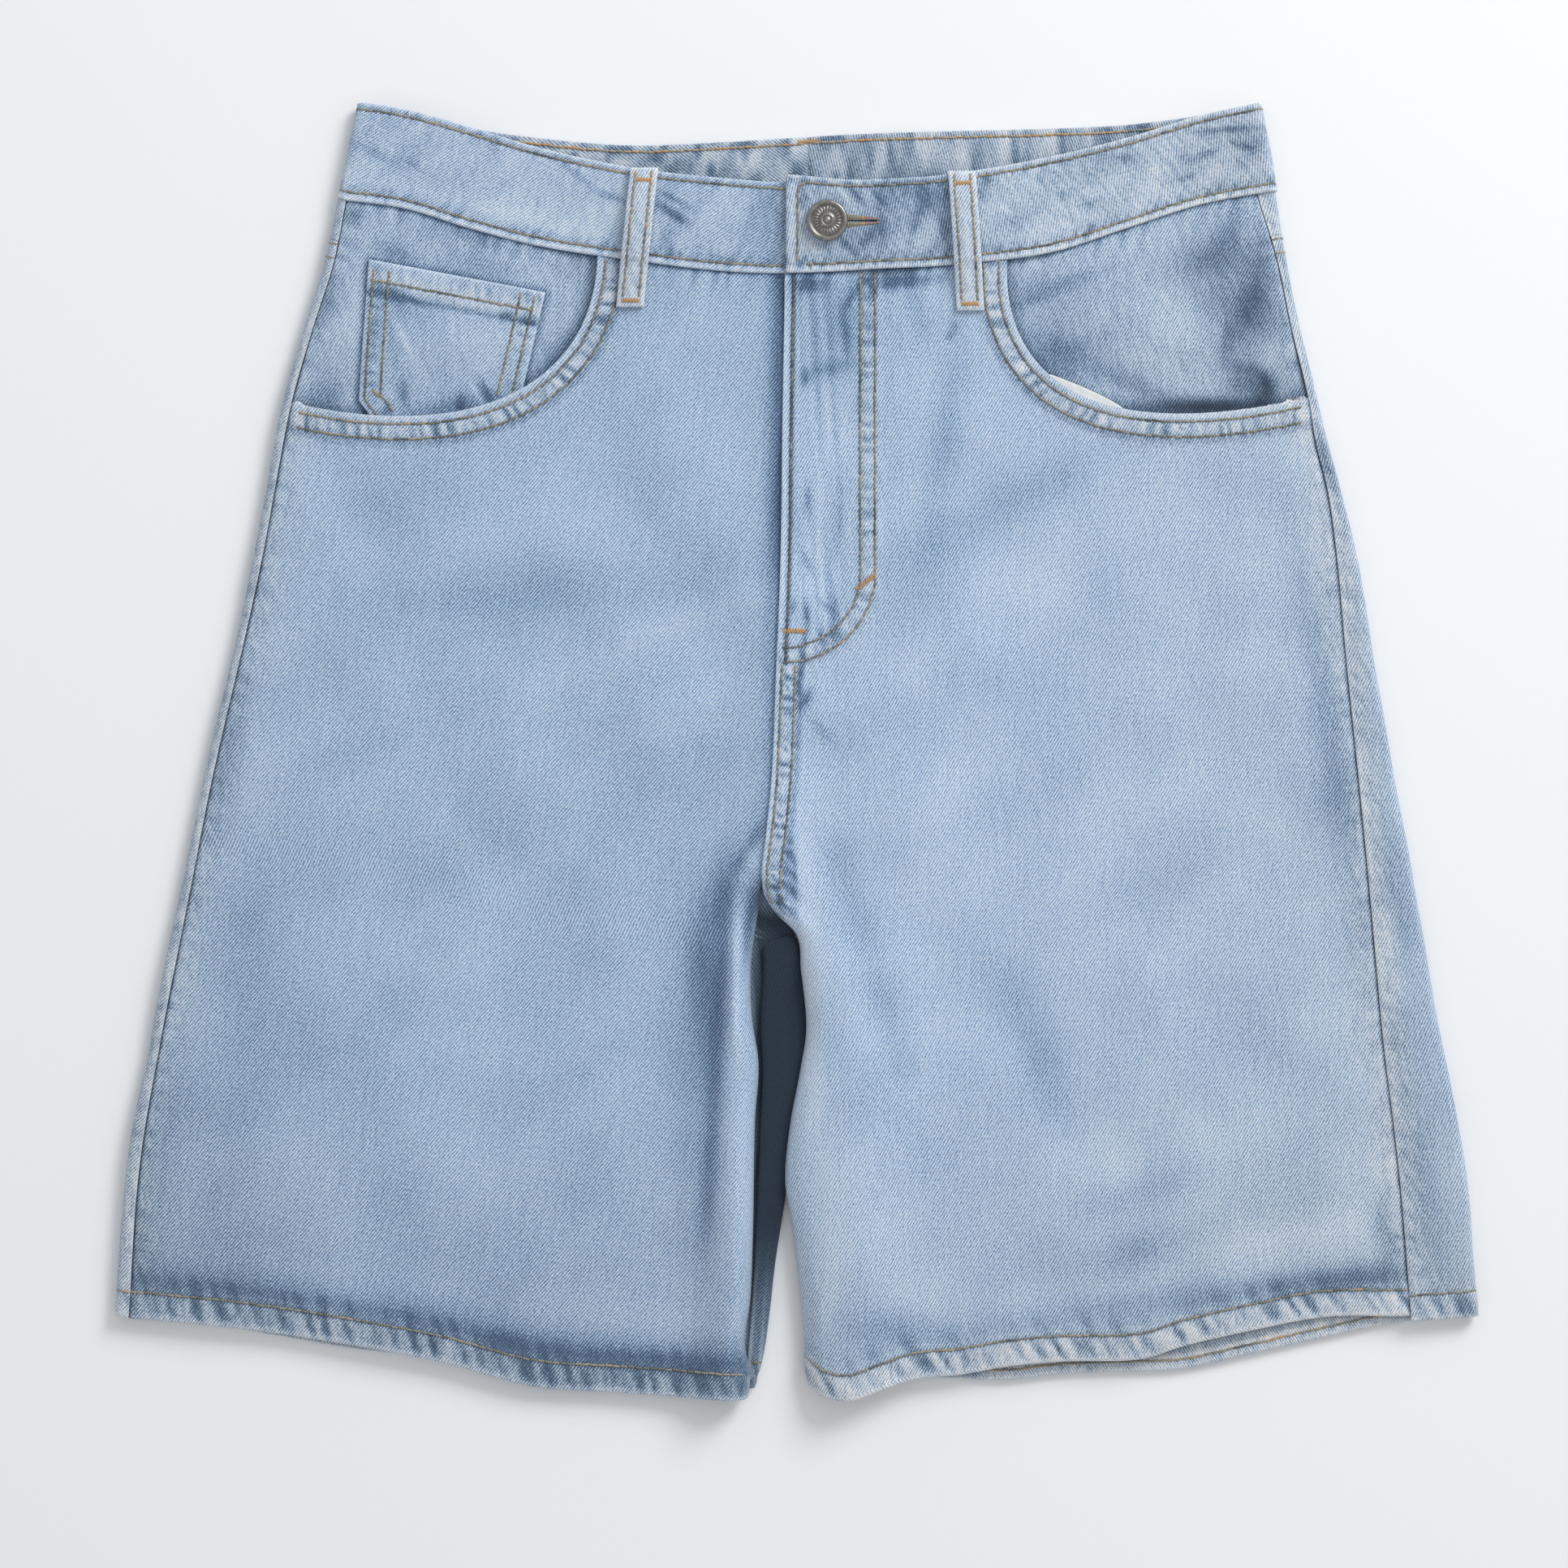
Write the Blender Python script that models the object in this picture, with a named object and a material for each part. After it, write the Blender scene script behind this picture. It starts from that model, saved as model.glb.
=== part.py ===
"""Denim shorts laid flat on their back, front upwards, as the pieces a maker cuts and sews.

+X runs to the wearer's left, +Y to the waist and +Z up from the surface that the shorts lie on.
The origin is on that surface, under the middle of the shorts. Sizes are in millimetres, and each
mesh is turned into metres as it is made.
"""

import math
from collections import namedtuple

import bmesh
import bpy
import numpy as np

TO_METRES = 0.001

# ---- cloth ----
DENIM = 1.2  # wall of one layer
BAND = 2.6  # wall of the waistband: two layers and the turnings between them
SEAM_GAP = 0.4  # clear space between two pieces that meet at a seam
LAID_HEIGHT = 6.0  # outer face of the front above the surface, where it lies flat
SIDE_FOLD = LAID_HEIGHT / 2  # outer radius of the fold down each side
SIDE_CALM = 35.0  # the front's folds die out over this distance from the side seam
BAND_RISE = 0.8  # the waistband's outer face above the panel that it is sewn to
INSEAM_FOLD = 1.7  # outer radius of the back's fold along each inside leg
INSEAM_HEIGHT = 2 * INSEAM_FOLD + 0.8  # where the front comes down to the inseam
INSEAM_ROLL = 8.5  # how far from the inside leg the front begins to roll over
HEM_DEPTH = 12.0
HEM_TURNING = 1.4  # the hem's second layer, on the inside of each panel
HEM_ROPE = 0.4  # how far the hem stands out of the outer face
EDGE_STEP = 4.0  # width over which a hem or a doubled edge thins out

# ---- waist ----
BAND_DEPTH = 38.0
CENTRE_BACK = 4.5  # the waist's middle, a little to the wearer's left of the fly's edge
UNDERLAP_END = 30.0  # the right waistband runs this far under the left one
UNDERLAP_DROP = 1.0  # and lies this much lower, from UNDERLAP_SLOPE[0] to [1]
UNDERLAP_SLOPE = (-28.0, -6.0)
OVERLAP_START = -4.1
OVERLAP_LIFT = 2.1  # the left waistband rides up over the underlap and the fly
OVERLAP_SLOPE = (36.0, 56.0)  # and comes down between these
OVERLAP_STEP = 3.0  # its corner sits this much nearer the waist's edge
OVERLAP_STEP_FADE = (-5.0, 31.0)

# ---- fly ----
FLY_WIDTH = 32.0  # X of the straight part of the fly's topstitching
FLY_BEND = 72.0  # Y where it starts to curve to the centre seam
FLY_FOOT = 36.0  # Y where it meets the centre seam
FLY_RISE = 1.6
FLY_STEP = 6.0  # its edge rounds off over this width
FELL_WIDTH = 9.0  # the centre seam's raised band below the fly
FELL_FOOT = -78.0  # where that band ends, at the crotch
FELL_FADE = 24.0

# ---- front pockets ----
Mouth = namedtuple("Mouth", "start_x handle_top handle_side end_y")
MOUTHS = {  # each mouth's edge is a Bezier curve from the waistband to the side seam
    -1: Mouth(-81.6, (-83.2, 148.5), (-134.6, 125.8), 143.0),
    1: Mouth(86.2, (83.4, 165.0), (106.5, 121.5), 145.0),
}
MOUTH_EDGE_RISE = 0.6
MOUTH_EDGE_WIDTH = 11.6
FACING_UNDER = 12.0  # how far the hip facing runs under the front
FACING_DROP = 3.3  # how far it hangs below the front at the mouth
FACING_LIP = 4.0  # it begins to rise this far from the mouth
FACING_SLOPE = 30.0  # and is level with the front this much further on
FACING_DROP_AT_SEAM = 1.6  # where waistband or side seam holds front and facing together
FACING_FREE = 16.0  # it hangs freely this far from those seams
COIN_POCKET_TOP = ((-175.5, 201.5), (-103.5, 188.0))
COIN_POCKET_FOOT = ((-180.0, 144.0), (-171.0, 132.0), (-114.5, 142.0))
COIN_POCKET_HEM = 12.5
LINING = 1.0  # the pocket bag's cotton
LINING_SHOWS = 3.4
LINING_UNDER = 6.0
LINING_STRETCH = (0.32, 0.53)  # share of the left mouth along which it peeps out
LINING_FULLNESS = 0.7  # below 1, it widens fast from either end
LINING_ROWS = 5
LINING_COLUMNS = 12

# ---- belt loops and button ----
LOOP_WIDTH = 11.0
LOOP_WALL = 1.8
LOOP_LIFT = 0.55  # clear space under the loop where it is sewn down
LOOP_SLACK = 1.7  # more room for a belt between loop and waistband
LOOP_EDGE = 0.35  # its edges round off by this much
LOOPS = {  # X of the middle at the top and at the foot
    "belt_loop_right": (-62.5, -68.5),
    "belt_loop_left": (67.5, 71.2),
}
LOOP_TOP_OVER = 0.6  # its top stands this far above the waistband's edge
LOOP_LENGTH = 56.5
LOOP_STEPS_OFF = (-1.5, 1.0)  # it steps down off the waistband between these, from the seam
LOOP_SLACK_END = 0.86  # share of its length at which it is sewn down again
LOOP_SLACK_FULLNESS = 0.6  # below 1, the slack rises steeply at both ends
LOOP_ACROSS = (-0.5, -0.42, 0, 0.42, 0.5)  # its columns, as shares of its width
LOOP_ROWS = 15
BUTTON_AT = (12.3, 216.7)
BUTTON_LIFT = 0.5  # the button's underside above the waistband
SHANK_RADIUS = 2.2
ButtonEdge = namedtuple("ButtonEdge", "radius height")
BUTTON_EDGES = (  # from its underside, over a raised rim and a groove, to a domed middle
    ButtonEdge(7.6, 0.0),
    ButtonEdge(8.5, 0.8),
    ButtonEdge(8.5, 2.0),
    ButtonEdge(7.8, 2.9),
    ButtonEdge(6.9, 3.0),
    ButtonEdge(6.3, 2.5),
    ButtonEdge(2.6, 2.7),
    ButtonEdge(2.0, 3.4),
)
EYELET_RADIUS = 3.0
BUTTONHOLE_WIDTH = 1.8
BUTTONHOLE_END = 33.5  # X of the slit's far end
CUTTER_HEIGHT = 40.0  # more than the waistband's height above the surface

# ---- outline, as rows from the waist down or from right to left ----
Side = namedtuple("Side", "y fold seam")
RIGHT_SIDE = (
    Side(266, -180.7, -176.6),
    Side(228, -188.7, -184.6),
    Side(200, -194.3, -190.2),
    Side(175, -202.3, -198.2),
    Side(143, -211.5, -207.4),
    Side(115, -217.0, -212.9),
    Side(82, -223.0, -218.9),
    Side(42, -231.7, -227.6),
    Side(-12, -244.3, -240.1),
    Side(-65, -255.3, -250.5),
    Side(-118, -266.0, -261.0),
    Side(-172, -275.7, -270.0),
    Side(-236, -281.0, -274.5),
)
LEFT_SIDE = (
    Side(266, 191.0, 184.0),
    Side(228, 197.7, 189.2),
    Side(214, 199.6, 193.5),
    Side(200, 201.6, 197.5),
    Side(175, 206.7, 202.6),
    Side(145, 214.0, 209.8),
    Side(126, 218.8, 213.0),
    Side(108, 223.5, 217.5),
    Side(82, 230.0, 221.3),
    Side(42, 236.7, 225.0),
    Side(-12, 246.0, 230.5),
    Side(-65, 256.0, 235.7),
    Side(-118, 265.0, 240.5),
    Side(-172, 275.0, 247.0),
    Side(-236, 281.0, 252.3),
)
SIDES = {-1: RIGHT_SIDE, 1: LEFT_SIDE}

Waist = namedtuple("Waist", "x front_top front_seam back_top")
WAIST = (
    Waist(-192, 267.8, 227.2, 267.8),
    Waist(-161, 263.0, 223.0, 261.5),
    Waist(-135, 256.0, 215.0, 255.8),
    Waist(-108, 247.8, 208.0, 252.0),
    Waist(-69, 239.0, 201.6, 248.8),
    Waist(-29, 234.2, 196.8, 250.2),
    Waist(0, 232.4, 196.0, 252.0),
    Waist(31, 233.4, 197.5, 253.7),
    Waist(65, 236.2, 199.6, 254.7),
    Waist(105, 243.7, 205.0, 255.7),
    Waist(135, 251.2, 214.7, 257.2),
    Waist(165, 260.3, 224.4, 261.0),
    Waist(200, 268.0, 231.0, 268.0),
)

# The inner edge of each front: the centre front down to the crotch, then the inside leg's roll.
# roll is how far the cloth has turned over into that roll, from 0 to 1.
Inner = namedtuple("Inner", "y x roll")
LEFT_FRONT_INNER = (
    Inner(210, -4.5, 0),
    Inner(142, -5.7, 0),
    Inner(75, -6.7, 0),
    Inner(35, -8.3, 0),
    Inner(-12, -10.3, 0),
    Inner(-36, -12.7, 0),
    Inner(-52, -14.4, 0.1),
    Inner(-60, -13.2, 0.6),
    Inner(-67, -8.6, 0.9),
    Inner(-75, -0.6, 1),
    Inner(-90, 1.6, 1),
    Inner(-115, 3.8, 1),
    Inner(-130, 1.6, 1),
    Inner(-155, -3.0, 1),
    Inner(-178, -4.8, 1),
    Inner(-192, -2.6, 1),
    Inner(-205, -0.8, 1),
    Inner(-240, 3.0, 1),
    Inner(-254, 3.6, 1),
    Inner(-266, 6.5, 1),
)
RIGHT_FRONT_INNER = (
    Inner(210, 2.5, 0),
    Inner(100, 0.5, 0),
    Inner(35, -2.0, 0),
    Inner(-12, -6.0, 0),
    Inner(-36, -9.8, 0),
    Inner(-50, -13.2, 0.1),
    Inner(-57, -15.0, 0.5),
    Inner(-65, -15.8, 0.9),
    Inner(-75, -17.4, 1),
    Inner(-90, -19.0, 1),
    Inner(-110, -18.4, 1),
    Inner(-128, -15.8, 1),
    Inner(-152, -17.2, 1),
    Inner(-203, -18.2, 1),
    Inner(-226, -19.2, 1),
    Inner(-243, -21.4, 1),
    Inner(-256, -19.4, 1),
    Inner(-268, -21.0, 1),
)
FRONT_INNERS = {-1: RIGHT_FRONT_INNER, 1: LEFT_FRONT_INNER}

# The inner end of each back on the surface: the centre back down to the crotch, then the fold
# inside the leg. return_by is how much cloth turns back over the fold, up to the inseam.
BackInner = namedtuple("BackInner", "y x return_by")
RIGHT_BACK_INNER = (
    BackInner(270, 4.2, 0),
    BackInner(100, 2.4, 0),
    BackInner(0, 0.5, 0),
    BackInner(-66, -0.6, 0),
    BackInner(-71, -0.6, 0),
    BackInner(-75, -0.3, 4),
    BackInner(-79, 0.5, 16),
    BackInner(-86, 1.9, 19),
    BackInner(-93, 2.9, 20),
    BackInner(-106, 4.1, 22),
    BackInner(-118, 4.3, 22.5),
    BackInner(-130, 3.0, 20.5),
    BackInner(-145, 0.5, 18.5),
    BackInner(-158, -1.6, 17),
    BackInner(-175, -3.8, 15.5),
    BackInner(-192, -5.6, 14.5),
    BackInner(-222, -10.0, 11.5),
    BackInner(-248, -13.6, 10.0),
    BackInner(-268, -18.5, 7.0),
)
LEFT_BACK_INNER = (
    BackInner(270, 4.7, 0),
    BackInner(100, 2.9, 0),
    BackInner(0, 1.0, 0),
    BackInner(-66, 0.1, 0),
    BackInner(-72, 0.2, 0),
    BackInner(-76, 0.8, 1.5),
    BackInner(-80, 1.7, 3.5),
    BackInner(-86, 3.0, 6),
    BackInner(-93, 4.0, 7),
    BackInner(-106, 5.2, 7),
    BackInner(-118, 5.4, 7),
    BackInner(-130, 4.3, 7),
    BackInner(-145, 2.0, 7),
    BackInner(-158, -0.4, 7),
    BackInner(-175, -2.6, 7),
    BackInner(-192, -0.8, 7),
    BackInner(-205, 0.6, 7),
    BackInner(-222, 2.8, 7),
    BackInner(-248, 5.4, 7),
    BackInner(-268, 8.5, 7),
)
BACK_INNERS = {-1: RIGHT_BACK_INNER, 1: LEFT_BACK_INNER}

Hem = namedtuple("Hem", "x front back")
RIGHT_HEM = (
    Hem(-283, -232.0, -232.0),
    Hem(-234, -236.3, -236.8),
    Hem(-189, -242.8, -244.6),
    Hem(-145, -251.0, -250.0),
    Hem(-109, -260.5, -256.5),
    Hem(-73, -263.2, -260.5),
    Hem(-40, -265.3, -262.8),
    Hem(-15, -266.2, -262.0),
)
LEFT_HEM = (
    Hem(-5, -252.0, -252.0),
    Hem(3, -258.5, -256.0),
    Hem(11, -264.5, -258.5),
    Hem(21, -266.1, -259.5),
    Hem(34, -261.8, -258.5),
    Hem(48, -257.6, -257.2),
    Hem(66, -256.2, -257.8),
    Hem(86, -252.6, -258.4),
    Hem(108, -250.6, -256.0),
    Hem(143, -249.2, -254.8),
    Hem(157, -244.6, -254.0),
    Hem(190, -237.0, -247.0),
    Hem(217, -232.2, -240.8),
    Hem(245, -231.8, -235.2),
    Hem(283, -232.0, -232.0),
)
HEMS = {-1: RIGHT_HEM, 1: LEFT_HEM}

# The yoke's seam on the back: Y at the side and at the centre.
YOKE_SIDE_X = 198.0
YOKE_SIDE = 212.0
YOKE_CENTRE = 152.0

# Large folds of the front: a ridge (or, below zero, a trough) along the line from start to end.
Fold = namedtuple("Fold", "start end height width")
FOLDS = (
    Fold((-45, 222), (62, 222), 5.0, 42),  # the waist stands open over the belly
    Fold((-8, 60), (-13, -48), 3.4, 17),  # the stiff centre seam
    Fold((-23, -86), (-27, -268), 8.0, 15),  # the ridge inside the right leg
    Fold((17, -92), (24, -264), 7.2, 23),  # and inside the left leg
    Fold((-70, 47), (-24, 64), 1.0, 6),  # whiskers from the crotch across the thighs
    Fold((-84, 12), (-22, 22), 0.7, 7),
    Fold((28, 8), (70, 42), 0.8, 9),
    Fold((14, -42), (34, -112), -1.0, 8),
    Fold((-190, 62), (-100, 66), -0.7, 11),  # across the hips
    Fold((56, 88), (104, 112), -0.8, 11),
    Fold((88, -100), (114, -158), -0.9, 12),  # down the left thigh
    Fold((128, -60), (160, -130), 0.7, 16),
    Fold((-60, -120), (-150, -190), 0.8, 22),  # down the right thigh
    Fold((96, -238), (172, -232), 1.6, 13),  # the left hem lifts off the back
    Fold((-215, -222), (-150, -234), 0.8, 12),
)

# ---- how finely each piece is drawn ----
# Y of each row of a front on its inner edge; the row at CORNER_ROW starts at the pocket's corner.
FRONT_ROWS = (
    196, 187, 177, 167, 157, 147, 136, 125, 114, 104, 94, 77, 59, 42, 25, 8, -8, -23, -36, -46,
    -53, -59, -65, -70, -74, -77.5, -81, -88, -98, -112, -128, -145, -163, -182, -200, -218,
    -233, -245, -253.5, -260.5, -266,
)
CORNER_ROW = 10
# Distance of each column of a front from its inner edge, for a front this wide at its first one.
FRONT_COLUMNS = (
    260, 236, 212, 188, 164, 142, 121, 101, 83, 67, 53, 41, 30, 21, 14, 8.8, 5.2, 2.6, 0.9, 0,
)
YOKE_ROWS = (0, 0.35, 0.7, 1)
BACK_TOP_ROWS = (0, 0.28, 0.6)  # above the pocket's corner; below it a back shares the front's rows
STRIP_COLUMNS = 2
FOLD_COLUMNS = 6
BED_COLUMNS = 6
YOKE_BED_COLUMNS = 14
INSEAM_FOLD_COLUMNS = 5
LEAST_RETURN = 3.0
BAND_ROWS = 5
BAND_FRONT_COLUMNS = 17
BAND_FOLD_COLUMNS = 7
BAND_BACK_COLUMNS = 9
FACING_STEPS = 15
FACING_MOUTH = 41  # points along the mouth that the facing is made from
FACING_CORNER = 17  # and the one that its lower corner lies at
COIN_POCKET_STEPS = 11
MOUTH_POINTS = 25
LINING_MOUTH_POINTS = 101
BUTTON_SEGMENTS = 32
EYELET_SEGMENTS = 20
SETTLING_ROUNDS = 8  # a section's width depends on y and y on it, so they are worked out in turn

COLOURS = {  # name: base colour, roughness, metallic
    "denim": ((0.36, 0.47, 0.60, 1), 0.9, 0.0),
    "cotton": ((0.86, 0.86, 0.84, 1), 0.9, 0.0),
    "button_metal": ((0.36, 0.35, 0.32, 1), 0.42, 0.9),
}


# ---------------------------------------------------------------- curves
def follow(rows, column, at, key=0):
    """A smooth curve through the rows of a table: cubic pieces whose slopes are the mean of those
    on either side. Beyond the table it keeps its last value."""
    known = np.array([row[key] for row in rows], float)
    values = np.array([getattr(row, column) for row in rows], float)
    order = np.argsort(known)
    known, values = known[order], values[order]
    at = np.clip(np.asarray(at, float), known[0], known[-1])
    step = np.diff(known)
    chord = np.diff(values) / step
    slope = np.concatenate([chord[:1], (chord[:-1] + chord[1:]) / 2, chord[-1:]])
    i = np.clip(np.searchsorted(known, at) - 1, 0, len(step) - 1)
    t = (at - known[i]) / step[i]
    return (
        values[i] * (1 + 2 * t) * (1 - t) ** 2
        + values[i + 1] * t**2 * (3 - 2 * t)
        + step[i] * (slope[i] * t * (1 - t) ** 2 - slope[i + 1] * t**2 * (1 - t))
    )


def ease(t):
    """0 below 0, 1 above 1, and a smooth step between."""
    t = np.clip(t, 0, 1)
    return t * t * (3 - 2 * t)


def between(x, limits):
    """0 before the first limit, 1 after the second, and a smooth step between."""
    return ease((x - limits[0]) / (limits[1] - limits[0]))


def mix(a, b, t):
    return a * (1 - t) + b * t


def along_line(points, share):
    """Points at these shares of a polyline's length."""
    points = np.asarray(points, float)
    run = np.concatenate([[0], np.cumsum(np.linalg.norm(np.diff(points, axis=0), axis=1))])
    return np.stack([np.interp(np.asarray(share) * run[-1], run, points[:, k]) for k in (0, 1)], -1)


def distance_to(x, y, line):
    """Distance of each (x, y) from a polyline."""
    found = np.full(np.shape(x), np.inf)
    for (x0, y0), (x1, y1) in zip(line[:-1], line[1:]):
        run = (x1 - x0) ** 2 + (y1 - y0) ** 2
        t = np.clip(((x - x0) * (x1 - x0) + (y - y0) * (y1 - y0)) / run, 0, 1)
        found = np.minimum(found, np.hypot(x - x0 - t * (x1 - x0), y - y0 - t * (y1 - y0)))
    return found


def pocket_mouth(side, count=MOUTH_POINTS):
    """The mouth's edge from the waistband to the side seam: a cubic Bezier."""
    mouth = MOUTHS[side]
    corners = np.array([
        (mouth.start_x, follow(WAIST, "front_seam", mouth.start_x)),
        mouth.handle_top,
        mouth.handle_side,
        (follow(SIDES[side], "seam", mouth.end_y), mouth.end_y),
    ])
    t = np.linspace(0, 1, count)[:, None]
    weights = ((1 - t) ** 3, 3 * t * (1 - t) ** 2, 3 * t**2 * (1 - t), t**3)
    return sum(weight * corner for weight, corner in zip(weights, corners))


# ---------------------------------------------------------------- heights
def laid_height(x, y):
    """Height of the front's outer face: the laid height and the large folds on it."""
    height = np.full(np.shape(x), LAID_HEIGHT, float)
    for fold in FOLDS:
        away = distance_to(x, y, (fold.start, fold.end))
        height = height + fold.height * np.exp(-((away / fold.width) ** 2))
    return height


def near_side(side, x, y):
    """1 on the side seam, falling to 0 over a few centimetres."""
    return 1 - ease(side * (follow(SIDES[side], "seam", y) - x) / SIDE_CALM)


def front_height(side, x, y):
    return mix(laid_height(x, y), LAID_HEIGHT, near_side(side, x, y))


def fly_edge(y):
    """X of the fly's topstitching: straight, then a quarter of an ellipse to the centre seam."""
    drop = np.clip((FLY_BEND - y) / (FLY_BEND - FLY_FOOT), 0, 1)
    centre = follow(LEFT_FRONT_INNER, "x", FLY_FOOT)
    return centre + (FLY_WIDTH - centre) * np.sqrt(1 - drop**2)


def fly_rise(x, y):
    """The left front stands higher over the fly's facing and over the centre seam."""
    fell = follow(LEFT_FRONT_INNER, "x", y) + FELL_WIDTH
    edge = np.where(y > FLY_FOOT, np.maximum(fly_edge(y), fell), fell)
    across = 1 - ease((x - edge) / FLY_STEP + 0.3)
    return FLY_RISE * across * ease((y - FELL_FOOT) / FELL_FADE)


def facing_height(side, x, y):
    """The hip facing hangs below the front along the pocket mouth and rises to the waist."""
    mouth = pocket_mouth(side)
    reach = side * (x - mouth[0, 0])
    span = np.maximum.accumulate(side * (mouth[:, 0] - mouth[0, 0]))
    open_side = (reach > 0) & (y > np.interp(reach, span, mouth[:, 1]))
    away = distance_to(x, y, mouth) * open_side
    from_waist = follow(WAIST, "front_seam", x) - y
    from_side = side * (follow(SIDES[side], "seam", y) - x)
    free = ease(np.minimum(from_waist, from_side) / FACING_FREE)
    drop = mix(FACING_DROP_AT_SEAM, FACING_DROP, free)
    hang = drop * (1 - ease((away - FACING_LIP) / FACING_SLOPE))
    return np.maximum(front_height(side, x, y) - hang, LAID_HEIGHT - FACING_DROP)


def band_height(side, x, y):
    """Outer face of the front waistband: the left end lies over the right one."""
    height = front_height(side, x, y) + BAND_RISE
    if side < 0:
        return height - UNDERLAP_DROP * between(x, UNDERLAP_SLOPE)
    return height + OVERLAP_LIFT * (1 - between(x, OVERLAP_SLOPE))


# ---------------------------------------------------------------- walls
def material(name):
    found = bpy.data.materials.get(name)
    if found:
        return found
    colour, roughness, metallic = COLOURS[name]
    made = bpy.data.materials.new(name)
    made.use_nodes = True
    shader = made.node_tree.nodes["Principled BSDF"]
    shader.inputs["Base Color"].default_value = colour
    shader.inputs["Roughness"].default_value = roughness
    shader.inputs["Metallic"].default_value = metallic
    made.diffuse_color = colour
    return made


def add_object(name, shape, finish):
    """One named object from a bmesh in millimetres, with its faces turned outwards."""
    bmesh.ops.recalc_face_normals(shape, faces=shape.faces)
    bmesh.ops.scale(shape, vec=(TO_METRES,) * 3, verts=shape.verts)
    mesh = bpy.data.meshes.new(name)
    shape.to_mesh(mesh)
    shape.free()
    mesh.shade_smooth()
    mesh.set_sharp_from_angle(angle=math.radians(50))
    mesh.materials.append(material(finish))
    made = bpy.data.objects.new(name, mesh)
    bpy.context.scene.collection.objects.link(made)
    return made


def cloth_wall(name, outer, inner, finish="denim"):
    """A closed wall between two grids of points: both faces, and a rim round their edges."""
    rows, columns = outer.shape[:2]
    shape = bmesh.new()
    layers = [[[shape.verts.new(point) for point in row] for row in grid] for grid in (outer, inner)]
    for layer in layers:
        for i in range(rows - 1):
            for j in range(columns - 1):
                shape.faces.new((layer[i][j], layer[i + 1][j], layer[i + 1][j + 1], layer[i][j + 1]))
    rim = (
        [(0, j) for j in range(columns)]
        + [(i, columns - 1) for i in range(1, rows)]
        + [(rows - 1, j) for j in range(columns - 2, -1, -1)]
        + [(i, 0) for i in range(rows - 2, 0, -1)]
    )
    for (i, j), (k, m) in zip(rim, rim[1:] + rim[:1]):
        shape.faces.new((layers[0][i][j], layers[0][k][m], layers[1][k][m], layers[1][i][j]))
    return add_object(name, shape, finish)


def facing_up(points):
    """Unit normals of a grid of points, turned upwards."""
    across = np.gradient(points, axis=1)
    down = np.gradient(points, axis=0)
    normal = np.cross(across, down)
    normal *= np.where(normal[..., 2:] < 0, -1, 1)
    return normal / np.linalg.norm(normal, axis=-1, keepdims=True)


def share_along(points):
    run = np.concatenate([[0], np.cumsum(np.linalg.norm(np.diff(points, axis=0), axis=1))])
    return run / run[-1]


def patch(top, foot, first, last, across=None, down=None):
    """The Coons patch between four edges of (x, y) points. Rows run from top to foot, and across
    and down are the shares of the way at which its columns and rows lie."""
    across = (share_along(top) if across is None else across)[None, :, None]
    down = (share_along(first) if down is None else down)[:, None, None]
    sides = mix(first[:, None], last[:, None], across)
    ends = mix(top[None], foot[None], down)
    corners = mix(mix(top[0], top[-1], across), mix(foot[0], foot[-1], across), down)
    return sides + ends - corners


# ---------------------------------------------------------------- fronts, facings and pockets
def front_shares():
    """How far down each row of a front is."""
    rows = np.array(FRONT_ROWS, float)
    return (rows[0] - rows) / (rows[0] - rows[-1])


def hem_line(side, column, x):
    return follow(HEMS[side], column, x)


def side_seam_rows(side):
    """(x, y) on the side seam of each row of a front, from the pocket's corner to the hem."""
    share = front_shares()
    down = (share[CORNER_ROW:] - share[CORNER_ROW]) / (1 - share[CORNER_ROW])
    foot_x = follow(SIDES[side], "seam", SIDES[side][-1].y)
    y = mix(MOUTHS[side].end_y, float(hem_line(side, "front", foot_x)), down)
    return np.stack([follow(SIDES[side], "seam", y), y], -1)


def front_grid(side):
    """(x, y) of a front: from pocket mouth and side seam across to centre front and inside leg."""
    share = front_shares()
    inner = FRONT_INNERS[side]
    upper = along_line(pocket_mouth(side), share[:CORNER_ROW] / share[CORNER_ROW])
    outer_edge = np.concatenate([upper, side_seam_rows(side)])
    across = 1 - np.array(FRONT_COLUMNS, float) / FRONT_COLUMNS[0]
    top_x = mix(outer_edge[0, 0], follow(inner, "x", FRONT_ROWS[0]), across)
    top = np.stack([top_x, follow(WAIST, "front_seam", top_x) - SEAM_GAP], -1)
    foot_x = mix(outer_edge[-1, 0], follow(inner, "x", FRONT_ROWS[-1]), across)
    foot = np.stack([foot_x, hem_line(side, "front", foot_x)], -1)
    inner_y = mix(top[-1, 1], foot[-1, 1], share)
    inner_edge = np.stack([follow(inner, "x", inner_y), inner_y], -1)
    outer_edge[0], outer_edge[-1] = top[0], foot[0]
    inner_edge[0], inner_edge[-1] = top[-1], foot[-1]
    return patch(top, foot, outer_edge, inner_edge, across, share)


def hem_share(to_hem):
    """1 within the hem's depth and 0 above it."""
    return doubled(to_hem, HEM_DEPTH)


def doubled(away, depth):
    """1 where cloth is turned under along an edge to this depth, and 0 beyond."""
    return 1 - ease((away - depth) / EDGE_STEP + 0.5)


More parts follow.
